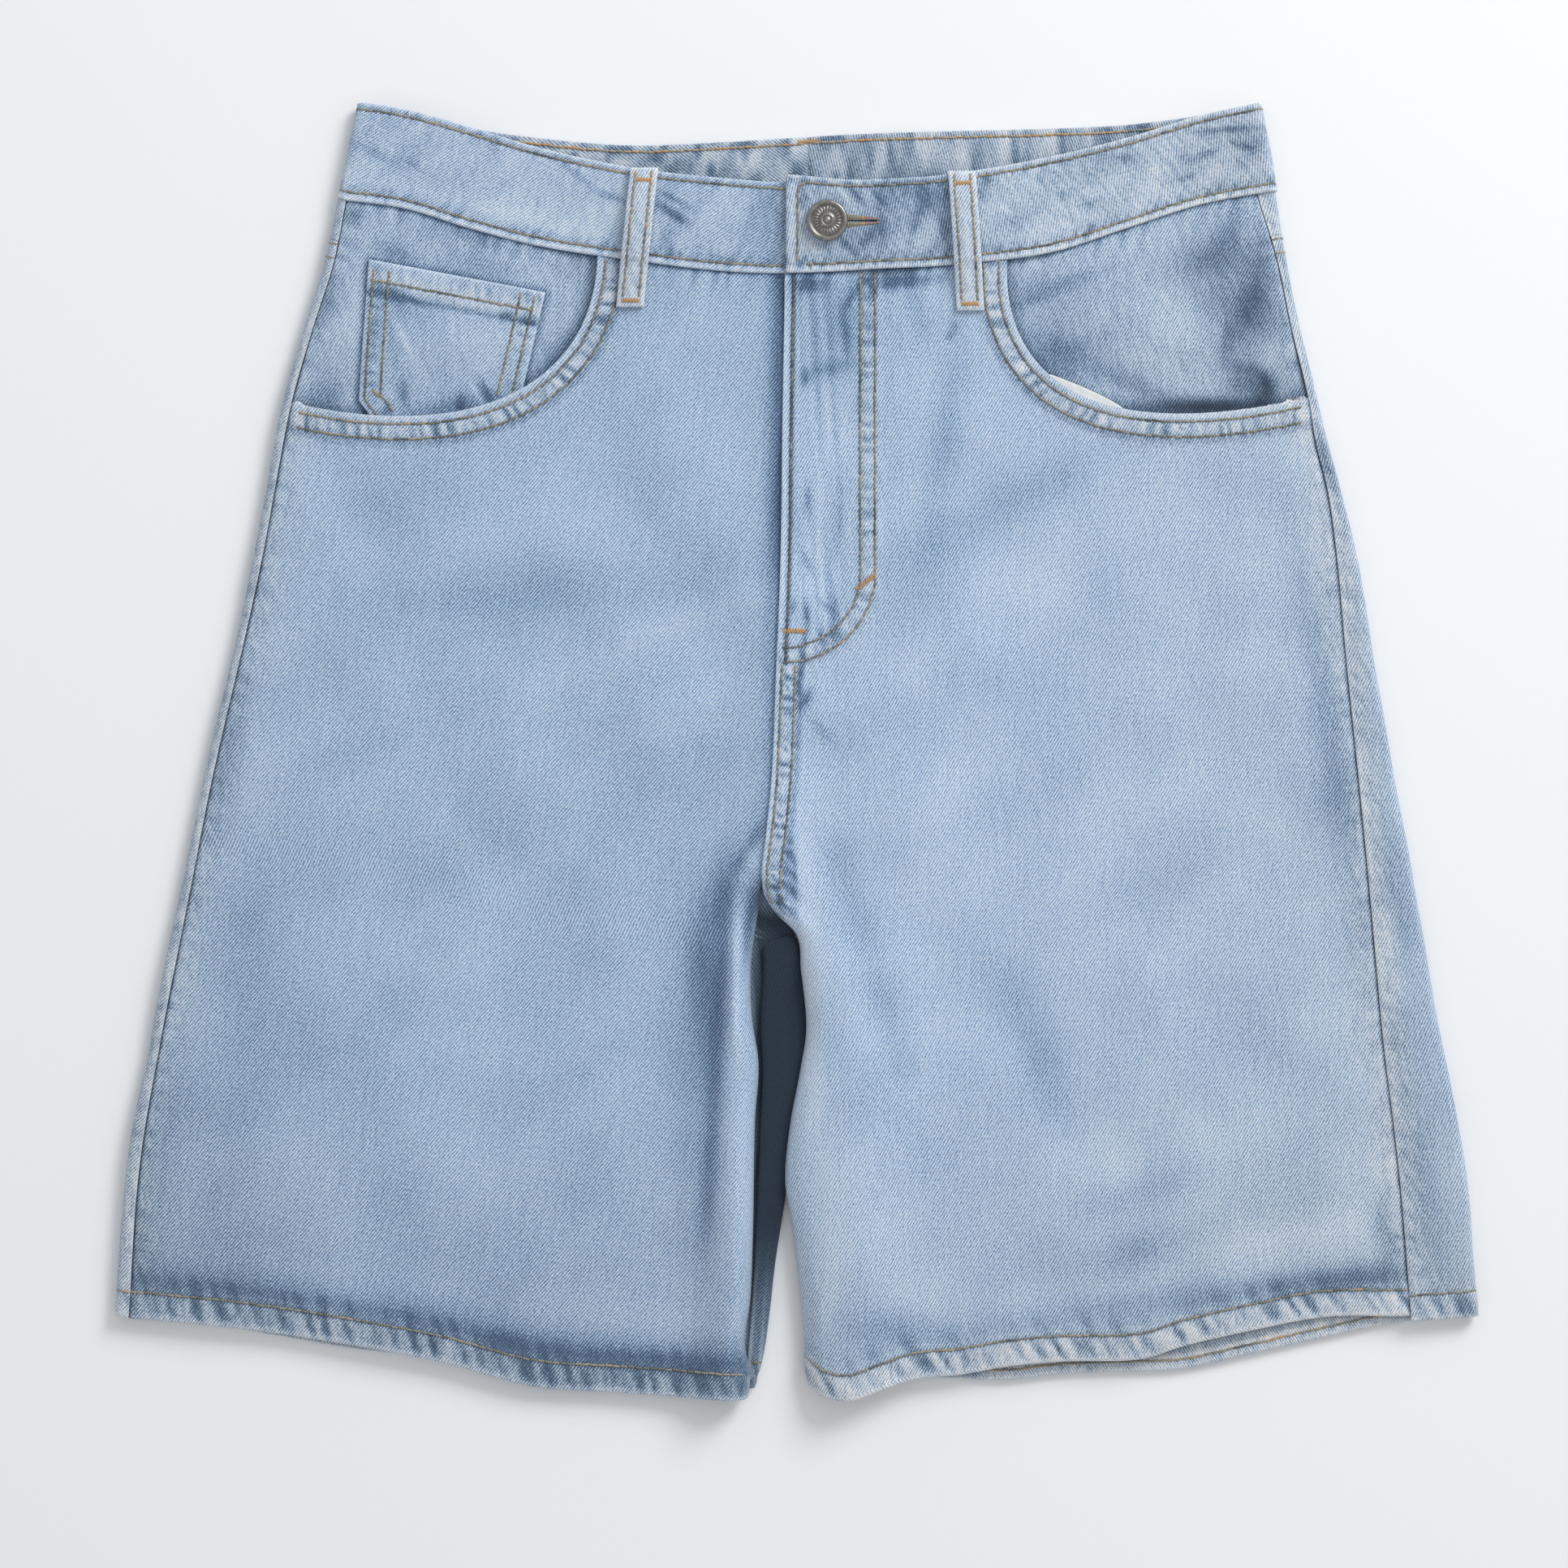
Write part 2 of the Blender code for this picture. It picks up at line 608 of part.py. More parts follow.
def front_panel(side, name):
    grid = front_grid(side)
    x, y = grid[..., 0], grid[..., 1]
    height = front_height(side, x, y)
    if side > 0:
        height = height + fly_rise(x, y)
    turn = np.clip(side * (x - follow(FRONT_INNERS[side], "x", y)) / INSEAM_ROLL, 0, 1)
    roll = np.clip(follow(FRONT_INNERS[side], "roll", y), 0, 1)
    rolled = INSEAM_HEIGHT + (height - INSEAM_HEIGHT) * np.sqrt(1 - (1 - turn) ** 2)
    plain = np.stack([x, y, mix(height, rolled, roll)], -1)
    normal = facing_up(plain)
    hem = hem_share(y - hem_line(side, "front", x))
    mouth_edge = doubled(distance_to(x, y, pocket_mouth(side)), MOUTH_EDGE_WIDTH)
    outer = plain + normal * (HEM_ROPE * hem + MOUTH_EDGE_RISE * mouth_edge)[..., None]
    turning = HEM_TURNING * hem * np.where(turn < 1, 1 - roll, 1)
    return cloth_wall(name, outer, plain - normal * (DENIM + turning)[..., None])


def hip_facing(side, name):
    """The denim panel behind the pocket mouth: from waist and side seam to under the front."""
    mouth = pocket_mouth(side, FACING_MOUTH)
    tangent = np.gradient(mouth, axis=0)
    away = np.stack([side * tangent[:, 1], -side * tangent[:, 0]], -1)
    away /= np.linalg.norm(away, axis=1, keepdims=True)
    under = mouth + away * FACING_UNDER
    steps = np.linspace(0, 1, FACING_STEPS)
    last = along_line(under[: FACING_CORNER + 1], steps)
    foot = along_line(under[FACING_CORNER:], 1 - steps)
    corner_x = follow(SIDES[side], "seam", WAIST[0].front_seam)
    side_y = mix(float(follow(WAIST, "front_seam", corner_x)) - SEAM_GAP, foot[0, 1], steps)
    first = np.stack([follow(SIDES[side], "seam", side_y) - side * SEAM_GAP / 2, side_y], -1)
    top_x = mix(first[0, 0], last[0, 0], steps)
    top = np.stack([top_x, follow(WAIST, "front_seam", top_x) - SEAM_GAP], -1)
    first[0], first[-1], last[0], last[-1] = top[0], foot[0], top[-1], foot[-1]
    foot[0, 0] = first[-1, 0] = float(follow(SIDES[side], "seam", foot[0, 1])) - side * SEAM_GAP
    grid = patch(top, foot, first, last)
    x, y = grid[..., 0], grid[..., 1]
    outer = np.stack([x, y, facing_height(side, x, y)], -1)
    return cloth_wall(name, outer, outer - DENIM * facing_up(outer))


def coin_pocket():
    """The small pocket on the right facing: a hemmed top, and a foot that the front covers."""
    steps = np.linspace(0, 1, COIN_POCKET_STEPS)
    top = along_line(COIN_POCKET_TOP, steps)
    foot = along_line(COIN_POCKET_FOOT[1:], steps)
    first = along_line([COIN_POCKET_TOP[0], *COIN_POCKET_FOOT[:2]], steps)
    last = along_line([COIN_POCKET_TOP[1], COIN_POCKET_FOOT[2]], steps)
    grid = patch(top, foot, first, last)
    x, y = grid[..., 0], grid[..., 1]
    under = facing_height(-1, x, y) + SEAM_GAP
    hem = MOUTH_EDGE_RISE * doubled(distance_to(x, y, COIN_POCKET_TOP), COIN_POCKET_HEM)
    outer = np.stack([x, y, under + DENIM + hem], -1)
    return cloth_wall("coin_pocket", outer, np.stack([x, y, under], -1))


# ---------------------------------------------------------------- backs, yokes and waistband
def waist_seam(x, angle):
    """Y of the waistband's lower edge: the front's seam, round the side fold to the back's."""
    front, back = follow(WAIST, "front_seam", x), follow(WAIST, "back_top", x) - BAND_DEPTH
    return mix(front, back, angle / math.pi)


def yoke_line(x):
    """Y of the seam between yoke and back."""
    return mix(YOKE_CENTRE, YOKE_SIDE, np.clip(np.abs(x) / YOKE_SIDE_X, 0, 1))


def measures(side, y):
    """A back's cross-section at y, outwards from the shorts' middle: X of the side seam, of the
    side fold's centre and of the bed's end, and how much cloth turns back beyond it."""
    extra = np.maximum(follow(BACK_INNERS[side], "return_by", y), 0)
    curl = np.clip(extra / (math.pi / 2 * INSEAM_FOLD), 0, 1)
    seam = side * follow(SIDES[side], "seam", y) + SEAM_GAP
    centre = side * follow(SIDES[side], "fold", y) - SIDE_FOLD
    bed_end = side * follow(BACK_INNERS[side], "x", y) + INSEAM_FOLD * curl
    return seam, centre, bed_end, extra


def columns_along(strip, turned, bed_end, extra, bed_columns):
    """How far along the section each column lies: along the strip on top, round the side fold, on
    the bed, then where the inner fold is on a leg, and to the end of what is turned back."""
    index = np.arange(STRIP_COLUMNS + FOLD_COLUMNS + bed_columns + INSEAM_FOLD_COLUMNS + 2)[None, :]
    end = bed_end + extra
    returned = np.maximum(extra - math.pi * INSEAM_FOLD, LEAST_RETURN)
    fold_start = end - returned - math.pi * INSEAM_FOLD
    k = index
    on_strip = strip * k / STRIP_COLUMNS
    k = k - STRIP_COLUMNS
    on_fold = mix(strip, turned, k / FOLD_COLUMNS)
    k = k - FOLD_COLUMNS
    on_bed = mix(turned, fold_start, k / bed_columns)
    k = k - bed_columns
    on_inner_fold = fold_start + math.pi * INSEAM_FOLD * k / (INSEAM_FOLD_COLUMNS - 1)
    k = k - (INSEAM_FOLD_COLUMNS - 1)
    on_return = end - returned * (1 - k / 2)
    before_bed = STRIP_COLUMNS + FOLD_COLUMNS
    before_return = before_bed + bed_columns + INSEAM_FOLD_COLUMNS - 1
    upper = np.where(index < STRIP_COLUMNS, on_strip, on_fold)
    lower = np.where(index < before_bed + bed_columns, on_bed, on_inner_fold)
    walked = np.where(index < before_bed, upper, lower)
    return np.where(index > before_return, on_return, walked)


def section(side, y, bed_columns):
    """Points (x, z) of a back's outer face at y, its normals there, how far round the side fold
    each one is, and which of them lie flat on the bed."""
    seam, centre, bed_end, extra = measures(side, y)
    strip = centre - seam
    turned = strip + math.pi * SIDE_FOLD
    bed_stop = turned + centre - bed_end
    walked = columns_along(strip, turned, bed_stop, extra, bed_columns)
    angle = np.clip((walked - strip) / SIDE_FOLD, 0, math.pi)
    under = np.clip((walked - bed_stop) / INSEAM_FOLD, 0, math.pi)
    out = seam + np.clip(walked, 0, strip) + SIDE_FOLD * np.sin(angle)
    out = out - np.clip(walked - turned, 0, bed_stop - turned) - INSEAM_FOLD * np.sin(under)
    out = out + np.maximum(walked - bed_stop - math.pi * INSEAM_FOLD, 0)
    up = SIDE_FOLD * (1 + np.cos(angle)) + INSEAM_FOLD * (1 - np.cos(under))
    normal_out = np.sin(angle) - np.sin(under)
    normal_up = np.where(walked < bed_stop, np.cos(angle), -np.cos(under))
    on_bed = (walked > turned + 1) & (walked < bed_stop - 2)
    return side * out, up, side * normal_out, normal_up, angle, on_bed


def back_piece(side, name, top_line, foot_line, shares, bed_columns):
    """A yoke or a back: top_line and foot_line give y at x and the angle round the side fold."""
    share = np.asarray(shares, float)[:, None]
    y = YOKE_SIDE * (1 - share)
    for _ in range(SETTLING_ROUNDS):
        x, z, normal_x, normal_z, angle, on_bed = section(side, y, bed_columns)
        y = mix(top_line(x, angle), foot_line(x, angle), share)
    outer = np.stack([x, y, z], -1)
    normal = np.stack([normal_x, np.zeros_like(x), normal_z], -1)
    wall = DENIM + HEM_TURNING * on_bed * hem_share(y - hem_line(side, "back", x))
    return cloth_wall(name, outer, outer - normal * wall[..., None])


def back_shares(side):
    """Rows of a back: a few above the pocket's corner, then the front's own, so that the two
    edges of the side seam run side by side."""
    edge = side_seam_rows(side)
    top = yoke_line(edge[0, 0]) - SEAM_GAP / 2
    foot = edge[-1, 1]
    lower = (top - edge[:, 1]) / (top - foot)
    return [*(lower[0] * np.array(BACK_TOP_ROWS)), *lower]


def back_and_yoke(side, word):
    half_gap = SEAM_GAP / 2
    back_piece(
        side,
        f"yoke_{word}",
        lambda x, angle: waist_seam(x, angle) - SEAM_GAP,
        lambda x, angle: yoke_line(x) + half_gap,
        YOKE_ROWS,
        YOKE_BED_COLUMNS,
    )
    back_piece(
        side,
        f"back_{word}",
        lambda x, angle: yoke_line(x) - half_gap,
        lambda x, angle: hem_line(side, "back", x),
        back_shares(side),
        BED_COLUMNS,
    )


def waistband(side, name):
    """Half of the waistband: from the fly round the side fold to the centre back."""
    start = UNDERLAP_END if side < 0 else OVERLAP_START
    radius = (LAID_HEIGHT + BAND_RISE) / 2
    count = BAND_FRONT_COLUMNS + BAND_FOLD_COLUMNS + BAND_BACK_COLUMNS
    index = np.arange(count)[None, :]
    turn = np.clip((index - BAND_FRONT_COLUMNS) / (BAND_FOLD_COLUMNS - 1), 0, 1) * math.pi
    to_back = (index - BAND_FRONT_COLUMNS - BAND_FOLD_COLUMNS + 1) / BAND_BACK_COLUMNS
    share = np.linspace(0, 1, BAND_ROWS)[:, None]
    y = np.full((BAND_ROWS, count), WAIST[0].front_top)
    on_front = turn == 0
    for _ in range(SETTLING_ROUNDS):
        centre = follow(SIDES[side], "fold", y) - side * radius
        front_x = mix(start, centre, index / BAND_FRONT_COLUMNS)
        back_x = mix(centre, CENTRE_BACK + side * SEAM_GAP / 2, to_back)
        x = np.where(to_back > 0, back_x, centre + side * radius * np.sin(turn))
        x = np.where(on_front, front_x, x)
        top = mix(follow(WAIST, "front_top", x), follow(WAIST, "back_top", x), turn / math.pi)
        if side > 0:
            top = top + OVERLAP_STEP * on_front * (1 - between(x, OVERLAP_STEP_FADE))
        y = mix(top, waist_seam(x, turn), share)
    z = np.where(on_front, band_height(side, x, y), radius * (1 + np.cos(turn)))
    outer = np.stack([x, y, z], -1)
    level = np.stack([side * np.sin(turn) + 0 * y, 0 * y, np.cos(turn) + 0 * y], -1)
    normal = np.where(on_front[..., None], facing_up(outer), level)
    return cloth_wall(name, outer, outer - BAND * normal)


# ---------------------------------------------------------------- lining, belt loops and button
def pocket_lining():
    """The edge of the left pocket's cotton bag, where it peeps out over the mouth."""
    mouth = pocket_mouth(1, LINING_MOUTH_POINTS)
    shares = np.linspace(*LINING_STRETCH, LINING_COLUMNS)
    line = along_line(mouth, shares)
    tangent = np.gradient(line, axis=0)
    away = np.stack([-tangent[:, 1], tangent[:, 0]], -1)
    away /= np.linalg.norm(away, axis=1, keepdims=True)
    shows = LINING_SHOWS * np.sin(np.linspace(0, math.pi, LINING_COLUMNS)) ** LINING_FULLNESS
    across = np.linspace(0, 1, LINING_ROWS)[:, None]
    offset = mix(-LINING_UNDER, shows[None, :], across)
    grid = line[None] + away[None] * offset[..., None]
    x, y = grid[..., 0], grid[..., 1]
    top = front_height(1, x, y) - DENIM - SEAM_GAP
    under = np.stack([x, y, top - LINING], -1)
    return cloth_wall("pocket_lining_left", np.stack([x, y, top], -1), under, "cotton")


def belt_loop(name):
    """A folded strip over the waistband: sewn down at its top and at its foot on the front."""
    side = -1 if "right" in name else 1
    top_x, foot_x = LOOPS[name]
    top_y = follow(WAIST, "front_top", top_x) + LOOP_TOP_OVER
    share = np.linspace(0, 1, LOOP_ROWS)[:, None]
    across = np.array(LOOP_ACROSS)[None, :]
    middle_x = mix(top_x, foot_x, share)
    x = middle_x + LOOP_WIDTH * across
    y = top_y - LOOP_LENGTH * share + 0 * x
    on_band = between(y - follow(WAIST, "front_seam", x), LOOP_STEPS_OFF)
    below = mix(front_height(side, middle_x, y), band_height(side, middle_x, y), on_band)
    arch = np.sin(np.clip(share / LOOP_SLACK_END, 0, 1) * math.pi) ** LOOP_SLACK_FULLNESS
    inner_z = below + LOOP_LIFT + LOOP_SLACK * arch
    rounded = LOOP_EDGE * (np.abs(across) == LOOP_ACROSS[-1])
    outer = np.stack([x, y, inner_z + LOOP_WALL - rounded], -1)
    return cloth_wall(name, outer, np.stack([x, y, inner_z], -1))


def turned(name, profile, centre, finish, segments=BUTTON_SEGMENTS):
    """A solid of revolution about the vertical through centre, from (radius, height) points."""
    shape = bmesh.new()
    angles = np.linspace(0, 2 * math.pi, segments, endpoint=False)
    rings = [
        [shape.verts.new((centre[0] + r * math.cos(a), centre[1] + r * math.sin(a), z)) for a in angles]
        for r, z in profile
    ]
    for low, high in zip(rings, rings[1:]):
        for k in range(segments):
            shape.faces.new((low[k], low[(k + 1) % segments], high[(k + 1) % segments], high[k]))
    shape.faces.new(rings[0])
    shape.faces.new(rings[-1])
    return add_object(name, shape, finish)


def button():
    """The shank button: its shank goes down through the buttonhole's eyelet."""
    x, y = BUTTON_AT
    band = float(band_height(1, np.array(x), np.array(y)))
    under = float(band_height(-1, np.array(x), np.array(y)))
    base = band + BUTTON_LIFT
    shank = [(SHANK_RADIUS, under + SEAM_GAP), (SHANK_RADIUS, base)]
    profile = shank + [(edge.radius, base + edge.height) for edge in BUTTON_EDGES]
    return turned("button", profile, BUTTON_AT, "button_metal")


def cut_buttonhole(band):
    """A keyhole through the left waistband: a round eyelet and a slit away from it."""
    ends = ((EYELET_RADIUS, 0), (EYELET_RADIUS, CUTTER_HEIGHT))
    eyelet = turned("eyelet_cutter", ends, BUTTON_AT, "denim", EYELET_SEGMENTS)
    slit = bmesh.new()
    bmesh.ops.create_cube(slit, size=1)
    length = BUTTONHOLE_END - BUTTON_AT[0]
    bmesh.ops.scale(slit, vec=(length, BUTTONHOLE_WIDTH, CUTTER_HEIGHT), verts=slit.verts)
    middle = (BUTTON_AT[0] + length / 2, BUTTON_AT[1], CUTTER_HEIGHT / 2)
    bmesh.ops.translate(slit, vec=middle, verts=slit.verts)
    cutters = [eyelet, add_object("slit_cutter", slit, "denim")]
    for cutter in cutters:
        cutter.hide_render = True
        cutter.display_type = "WIRE"
        hole = band.modifiers.new(cutter.name, "BOOLEAN")
        hole.operation = "DIFFERENCE"
        hole.object = cutter


def main():
    for old in list(bpy.data.objects):
        bpy.data.objects.remove(old)
    for side, word in ((-1, "right"), (1, "left")):
        front_panel(side, f"front_{word}")
        back_and_yoke(side, word)
        hip_facing(side, f"facing_{word}")
    waistband(-1, "waistband_right")
    cut_buttonhole(waistband(1, "waistband_left"))
    coin_pocket()
    pocket_lining()
    for name in LOOPS:
        belt_loop(name)
    button()


main()
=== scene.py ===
"""Looks of a pair of denim shorts that lies flat, front upwards.

Lengths are in millimetres, as a maker writes them, and each mesh is turned into metres as it is
made. +X runs to the wearer's left, +Y to the waist and +Z up from the floor.
"""

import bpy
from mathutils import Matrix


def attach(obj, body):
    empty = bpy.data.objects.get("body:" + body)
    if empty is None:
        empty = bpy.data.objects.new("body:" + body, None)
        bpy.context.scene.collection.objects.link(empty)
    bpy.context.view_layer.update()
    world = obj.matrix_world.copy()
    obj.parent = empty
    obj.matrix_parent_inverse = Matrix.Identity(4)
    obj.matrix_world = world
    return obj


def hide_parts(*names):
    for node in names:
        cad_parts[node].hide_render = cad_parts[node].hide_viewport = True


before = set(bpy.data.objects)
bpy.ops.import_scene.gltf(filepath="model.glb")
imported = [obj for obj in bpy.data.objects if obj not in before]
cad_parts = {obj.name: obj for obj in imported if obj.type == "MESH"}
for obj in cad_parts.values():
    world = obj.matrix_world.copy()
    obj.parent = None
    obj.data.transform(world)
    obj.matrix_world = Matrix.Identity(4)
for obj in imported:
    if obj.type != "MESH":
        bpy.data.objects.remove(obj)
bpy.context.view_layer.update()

import math
from collections import namedtuple

import bpy
import numpy as np
from mathutils import Vector
from mathutils.bvhtree import BVHTree

MM = 0.001


def table(columns, *rows):
    """Rows of numbers with named columns."""
    row = namedtuple("Row", columns)
    return tuple(row(*values) for values in rows)


# ---- cloth ----
DENIM = 1.2  # wall of one layer
BAND = 2.6  # wall of the waistband: two layers and the turnings between them
SEAM_GAP = 0.4  # clear space between two pieces that meet at a seam
LAID_HEIGHT = 6.0  # outer face of the front above the surface, where it lies flat
SIDE_FOLD = LAID_HEIGHT / 2  # outer radius of the fold down each side
SIDE_CALM = 35.0  # the front's folds die out over this distance from the side seam
BAND_RISE = 0.8  # the waistband's outer face above the panel that it is sewn to
INSEAM_FOLD = 1.7  # outer radius of the back's fold along each inside leg
INSEAM_HEIGHT = 2 * INSEAM_FOLD + 0.8  # where the front comes down to the inseam
INSEAM_ROLL = 8.5  # how far from the inside leg the front begins to roll over
HEM_DEPTH = 12.0
HEM_TURNING = 1.4  # the hem's second layer, on the inside of each panel
HEM_ROPE = 0.4  # how far the hem stands out of the outer face
EDGE_STEP = 4.0  # width over which a hem or a doubled edge thins out

# ---- waist ----
BAND_DEPTH = 38.0
CENTRE_BACK = 4.5  # the waist's middle, a little to the wearer's left of the fly's edge
UNDERLAP_END = 30.0  # the right waistband runs this far under the left one
UNDERLAP_DROP = 1.0  # and lies this much lower, from UNDERLAP_SLOPE[0] to [1]
UNDERLAP_SLOPE = (-28.0, -6.0)
OVERLAP_START = -4.1
OVERLAP_LIFT = 2.1  # the left waistband rides up over the underlap and the fly
OVERLAP_SLOPE = (36.0, 56.0)  # and comes down between these
OVERLAP_STEP = 3.0  # its corner sits this much nearer the waist's edge
OVERLAP_STEP_FADE = (-5.0, 31.0)

# ---- fly ----
FLY_WIDTH = 32.0  # X of the straight part of the fly's topstitching
FLY_TOP = 196.6  # Y where it starts, at the waistband
FLY_BEND = 72.0  # Y where it starts to curve to the centre seam
FLY_FOOT = 36.0  # Y where it meets the centre seam
FLY_RISE = 1.6
FLY_STEP = 6.0  # its edge rounds off over this width
FELL_WIDTH = 9.0  # the centre seam's raised band below the fly
FELL_FOOT = -78.0  # where that band ends, at the crotch
FELL_FADE = 24.0

# ---- front pockets ----
Mouth = namedtuple("Mouth", "start_x handle_top handle_side end_y")
MOUTHS = {  # each mouth's edge is a Bezier curve from the waistband to the side seam
    -1: Mouth(-81.6, (-83.2, 148.5), (-134.6, 125.8), 143.0),
    1: Mouth(86.2, (83.4, 165.0), (106.5, 121.5), 145.0),
}
MOUTH_EDGE_RISE = 0.6
MOUTH_EDGE_WIDTH = 11.6
FACING_UNDER = 12.0  # how far the hip facing runs under the front
FACING_DROP = 3.3  # how far it hangs below the front at the mouth
FACING_LIP = 4.0  # it begins to rise this far from the mouth
FACING_SLOPE = 30.0  # and is level with the front this much further on
FACING_DROP_AT_SEAM = 1.6  # where waistband or side seam holds front and facing together
FACING_FREE = 16.0  # it hangs freely this far from those seams
COIN_POCKET_TOP = ((-175.5, 201.5), (-103.5, 188.0))
COIN_POCKET_FOOT = ((-180.0, 144.0), (-171.0, 132.0), (-114.5, 142.0))
COIN_POCKET_ENDS = ((COIN_POCKET_TOP[0], *COIN_POCKET_FOOT[:2]), (COIN_POCKET_TOP[1], COIN_POCKET_FOOT[2]))
COIN_POCKET_HEM = 12.5
LINING = 1.0  # the pocket bag's cotton
LINING_SHOWS = 3.4
LINING_UNDER = 6.0
LINING_STRETCH = (0.32, 0.53)  # share of the left mouth along which it peeps out
LINING_FULLNESS = 0.7  # below 1, it widens fast from either end

# ---- belt loops and button ----
LOOP_WIDTH = 11.0
LOOP_WALL = 1.8
LOOP_LIFT = 0.55  # clear space under the loop where it is sewn down
LOOP_SLACK = 1.7  # more room for a belt between loop and waistband
LOOP_EDGE = 0.35  # its edges round off by this much
LOOPS = {  # X of the middle at the top and at the foot
    "belt_loop_right": (-62.5, -68.5),
    "belt_loop_left": (67.5, 71.2),
}
LOOP_TOP_OVER = 0.6  # its top stands this far above the waistband's edge
LOOP_LENGTH = 56.5
LOOP_STEPS_OFF = (-1.5, 1.0)  # it steps down off the waistband between these, from the seam
LOOP_SLACK_END = 0.86  # share of its length at which it is sewn down again
LOOP_SLACK_FULLNESS = 0.6  # below 1, the slack rises steeply at both ends
BUTTON_AT = (12.3, 216.7)
BUTTON_LIFT = 0.5  # the button's underside above the waistband
SHANK_RADIUS = 2.2
EYELET_RADIUS = 3.0
BUTTONHOLE_END = 33.5  # X of the slit's far end

# ---- outline, as rows from the waist down or from right to left ----
RIGHT_SIDE = table(
    "y fold seam",
    (266, -180.7, -176.6), (228, -188.7, -184.6), (200, -194.3, -190.2), (175, -202.3, -198.2),
    (143, -211.5, -207.4), (115, -217.0, -212.9), (82, -223.0, -218.9), (42, -231.7, -227.6),
    (-12, -244.3, -240.1), (-65, -255.3, -250.5), (-118, -266.0, -261.0), (-172, -275.7, -270.0),
    (-236, -281.0, -274.5),
)
LEFT_SIDE = table(
    "y fold seam",
    (266, 191.0, 184.0), (228, 197.7, 189.2), (214, 199.6, 193.5), (200, 201.6, 197.5),
    (175, 206.7, 202.6), (145, 214.0, 209.8), (126, 218.8, 213.0), (108, 223.5, 217.5),
    (82, 230.0, 221.3), (42, 236.7, 225.0), (-12, 246.0, 230.5), (-65, 256.0, 235.7),
    (-118, 265.0, 240.5), (-172, 275.0, 247.0), (-236, 281.0, 252.3),
)
SIDES = {-1: RIGHT_SIDE, 1: LEFT_SIDE}

WAIST = table(
    "x front_top front_seam back_top",
    (-192, 267.8, 227.2, 267.8), (-161, 263.0, 223.0, 261.5), (-135, 256.0, 215.0, 255.8),
    (-108, 247.8, 208.0, 252.0), (-69, 239.0, 201.6, 248.8), (-29, 234.2, 196.8, 250.2),
    (0, 232.4, 196.0, 252.0), (31, 233.4, 197.5, 253.7), (65, 236.2, 199.6, 254.7),
    (105, 243.7, 205.0, 255.7), (135, 251.2, 214.7, 257.2), (165, 260.3, 224.4, 261.0),
    (200, 268.0, 231.0, 268.0),
)

# The inner edge of each front: the centre front down to the crotch, then the inside leg's roll.
# roll is how far the cloth has turned over into that roll, from 0 to 1.
LEFT_FRONT_INNER = table(
    "y x roll",
    (210, -4.5, 0), (142, -5.7, 0), (75, -6.7, 0), (35, -8.3, 0), (-12, -10.3, 0), (-36, -12.7, 0),
    (-52, -14.4, 0.1), (-60, -13.2, 0.6), (-67, -8.6, 0.9), (-75, -0.6, 1), (-90, 1.6, 1),
    (-115, 3.8, 1), (-130, 1.6, 1), (-155, -3.0, 1), (-178, -4.8, 1), (-192, -2.6, 1), (-205, -0.8, 1),
    (-240, 3.0, 1), (-254, 3.6, 1), (-266, 6.5, 1),
)
RIGHT_FRONT_INNER = table(
    "y x roll",
    (210, 2.5, 0), (100, 0.5, 0), (35, -2.0, 0), (-12, -6.0, 0), (-36, -9.8, 0), (-50, -13.2, 0.1),
    (-57, -15.0, 0.5), (-65, -15.8, 0.9), (-75, -17.4, 1), (-90, -19.0, 1), (-110, -18.4, 1),
    (-128, -15.8, 1), (-152, -17.2, 1), (-203, -18.2, 1), (-226, -19.2, 1), (-243, -21.4, 1),
    (-256, -19.4, 1), (-268, -21.0, 1),
)
FRONT_INNERS = {-1: RIGHT_FRONT_INNER, 1: LEFT_FRONT_INNER}

# The inner end of each back on the surface: the centre back down to the crotch, then the fold
# inside the leg. return_by is how much cloth turns back over the fold, up to the inseam.
RIGHT_BACK_INNER = table(
    "y x return_by",
    (270, 4.2, 0), (100, 2.4, 0), (0, 0.5, 0), (-66, -0.6, 0), (-71, -0.6, 0), (-75, -0.3, 4),
    (-79, 0.5, 16), (-86, 1.9, 19), (-93, 2.9, 20), (-106, 4.1, 22), (-118, 4.3, 22.5),
    (-130, 3.0, 20.5), (-145, 0.5, 18.5), (-158, -1.6, 17), (-175, -3.8, 15.5), (-192, -5.6, 14.5),
    (-222, -10.0, 11.5), (-248, -13.6, 10.0), (-268, -18.5, 7.0),
)
LEFT_BACK_INNER = table(
    "y x return_by",
    (270, 4.7, 0), (100, 2.9, 0), (0, 1.0, 0), (-66, 0.1, 0), (-72, 0.2, 0), (-76, 0.8, 1.5),
    (-80, 1.7, 3.5), (-86, 3.0, 6), (-93, 4.0, 7), (-106, 5.2, 7), (-118, 5.4, 7), (-130, 4.3, 7),
    (-145, 2.0, 7), (-158, -0.4, 7), (-175, -2.6, 7), (-192, -0.8, 7), (-205, 0.6, 7), (-222, 2.8, 7),
    (-248, 5.4, 7), (-268, 8.5, 7),
)
BACK_INNERS = {-1: RIGHT_BACK_INNER, 1: LEFT_BACK_INNER}

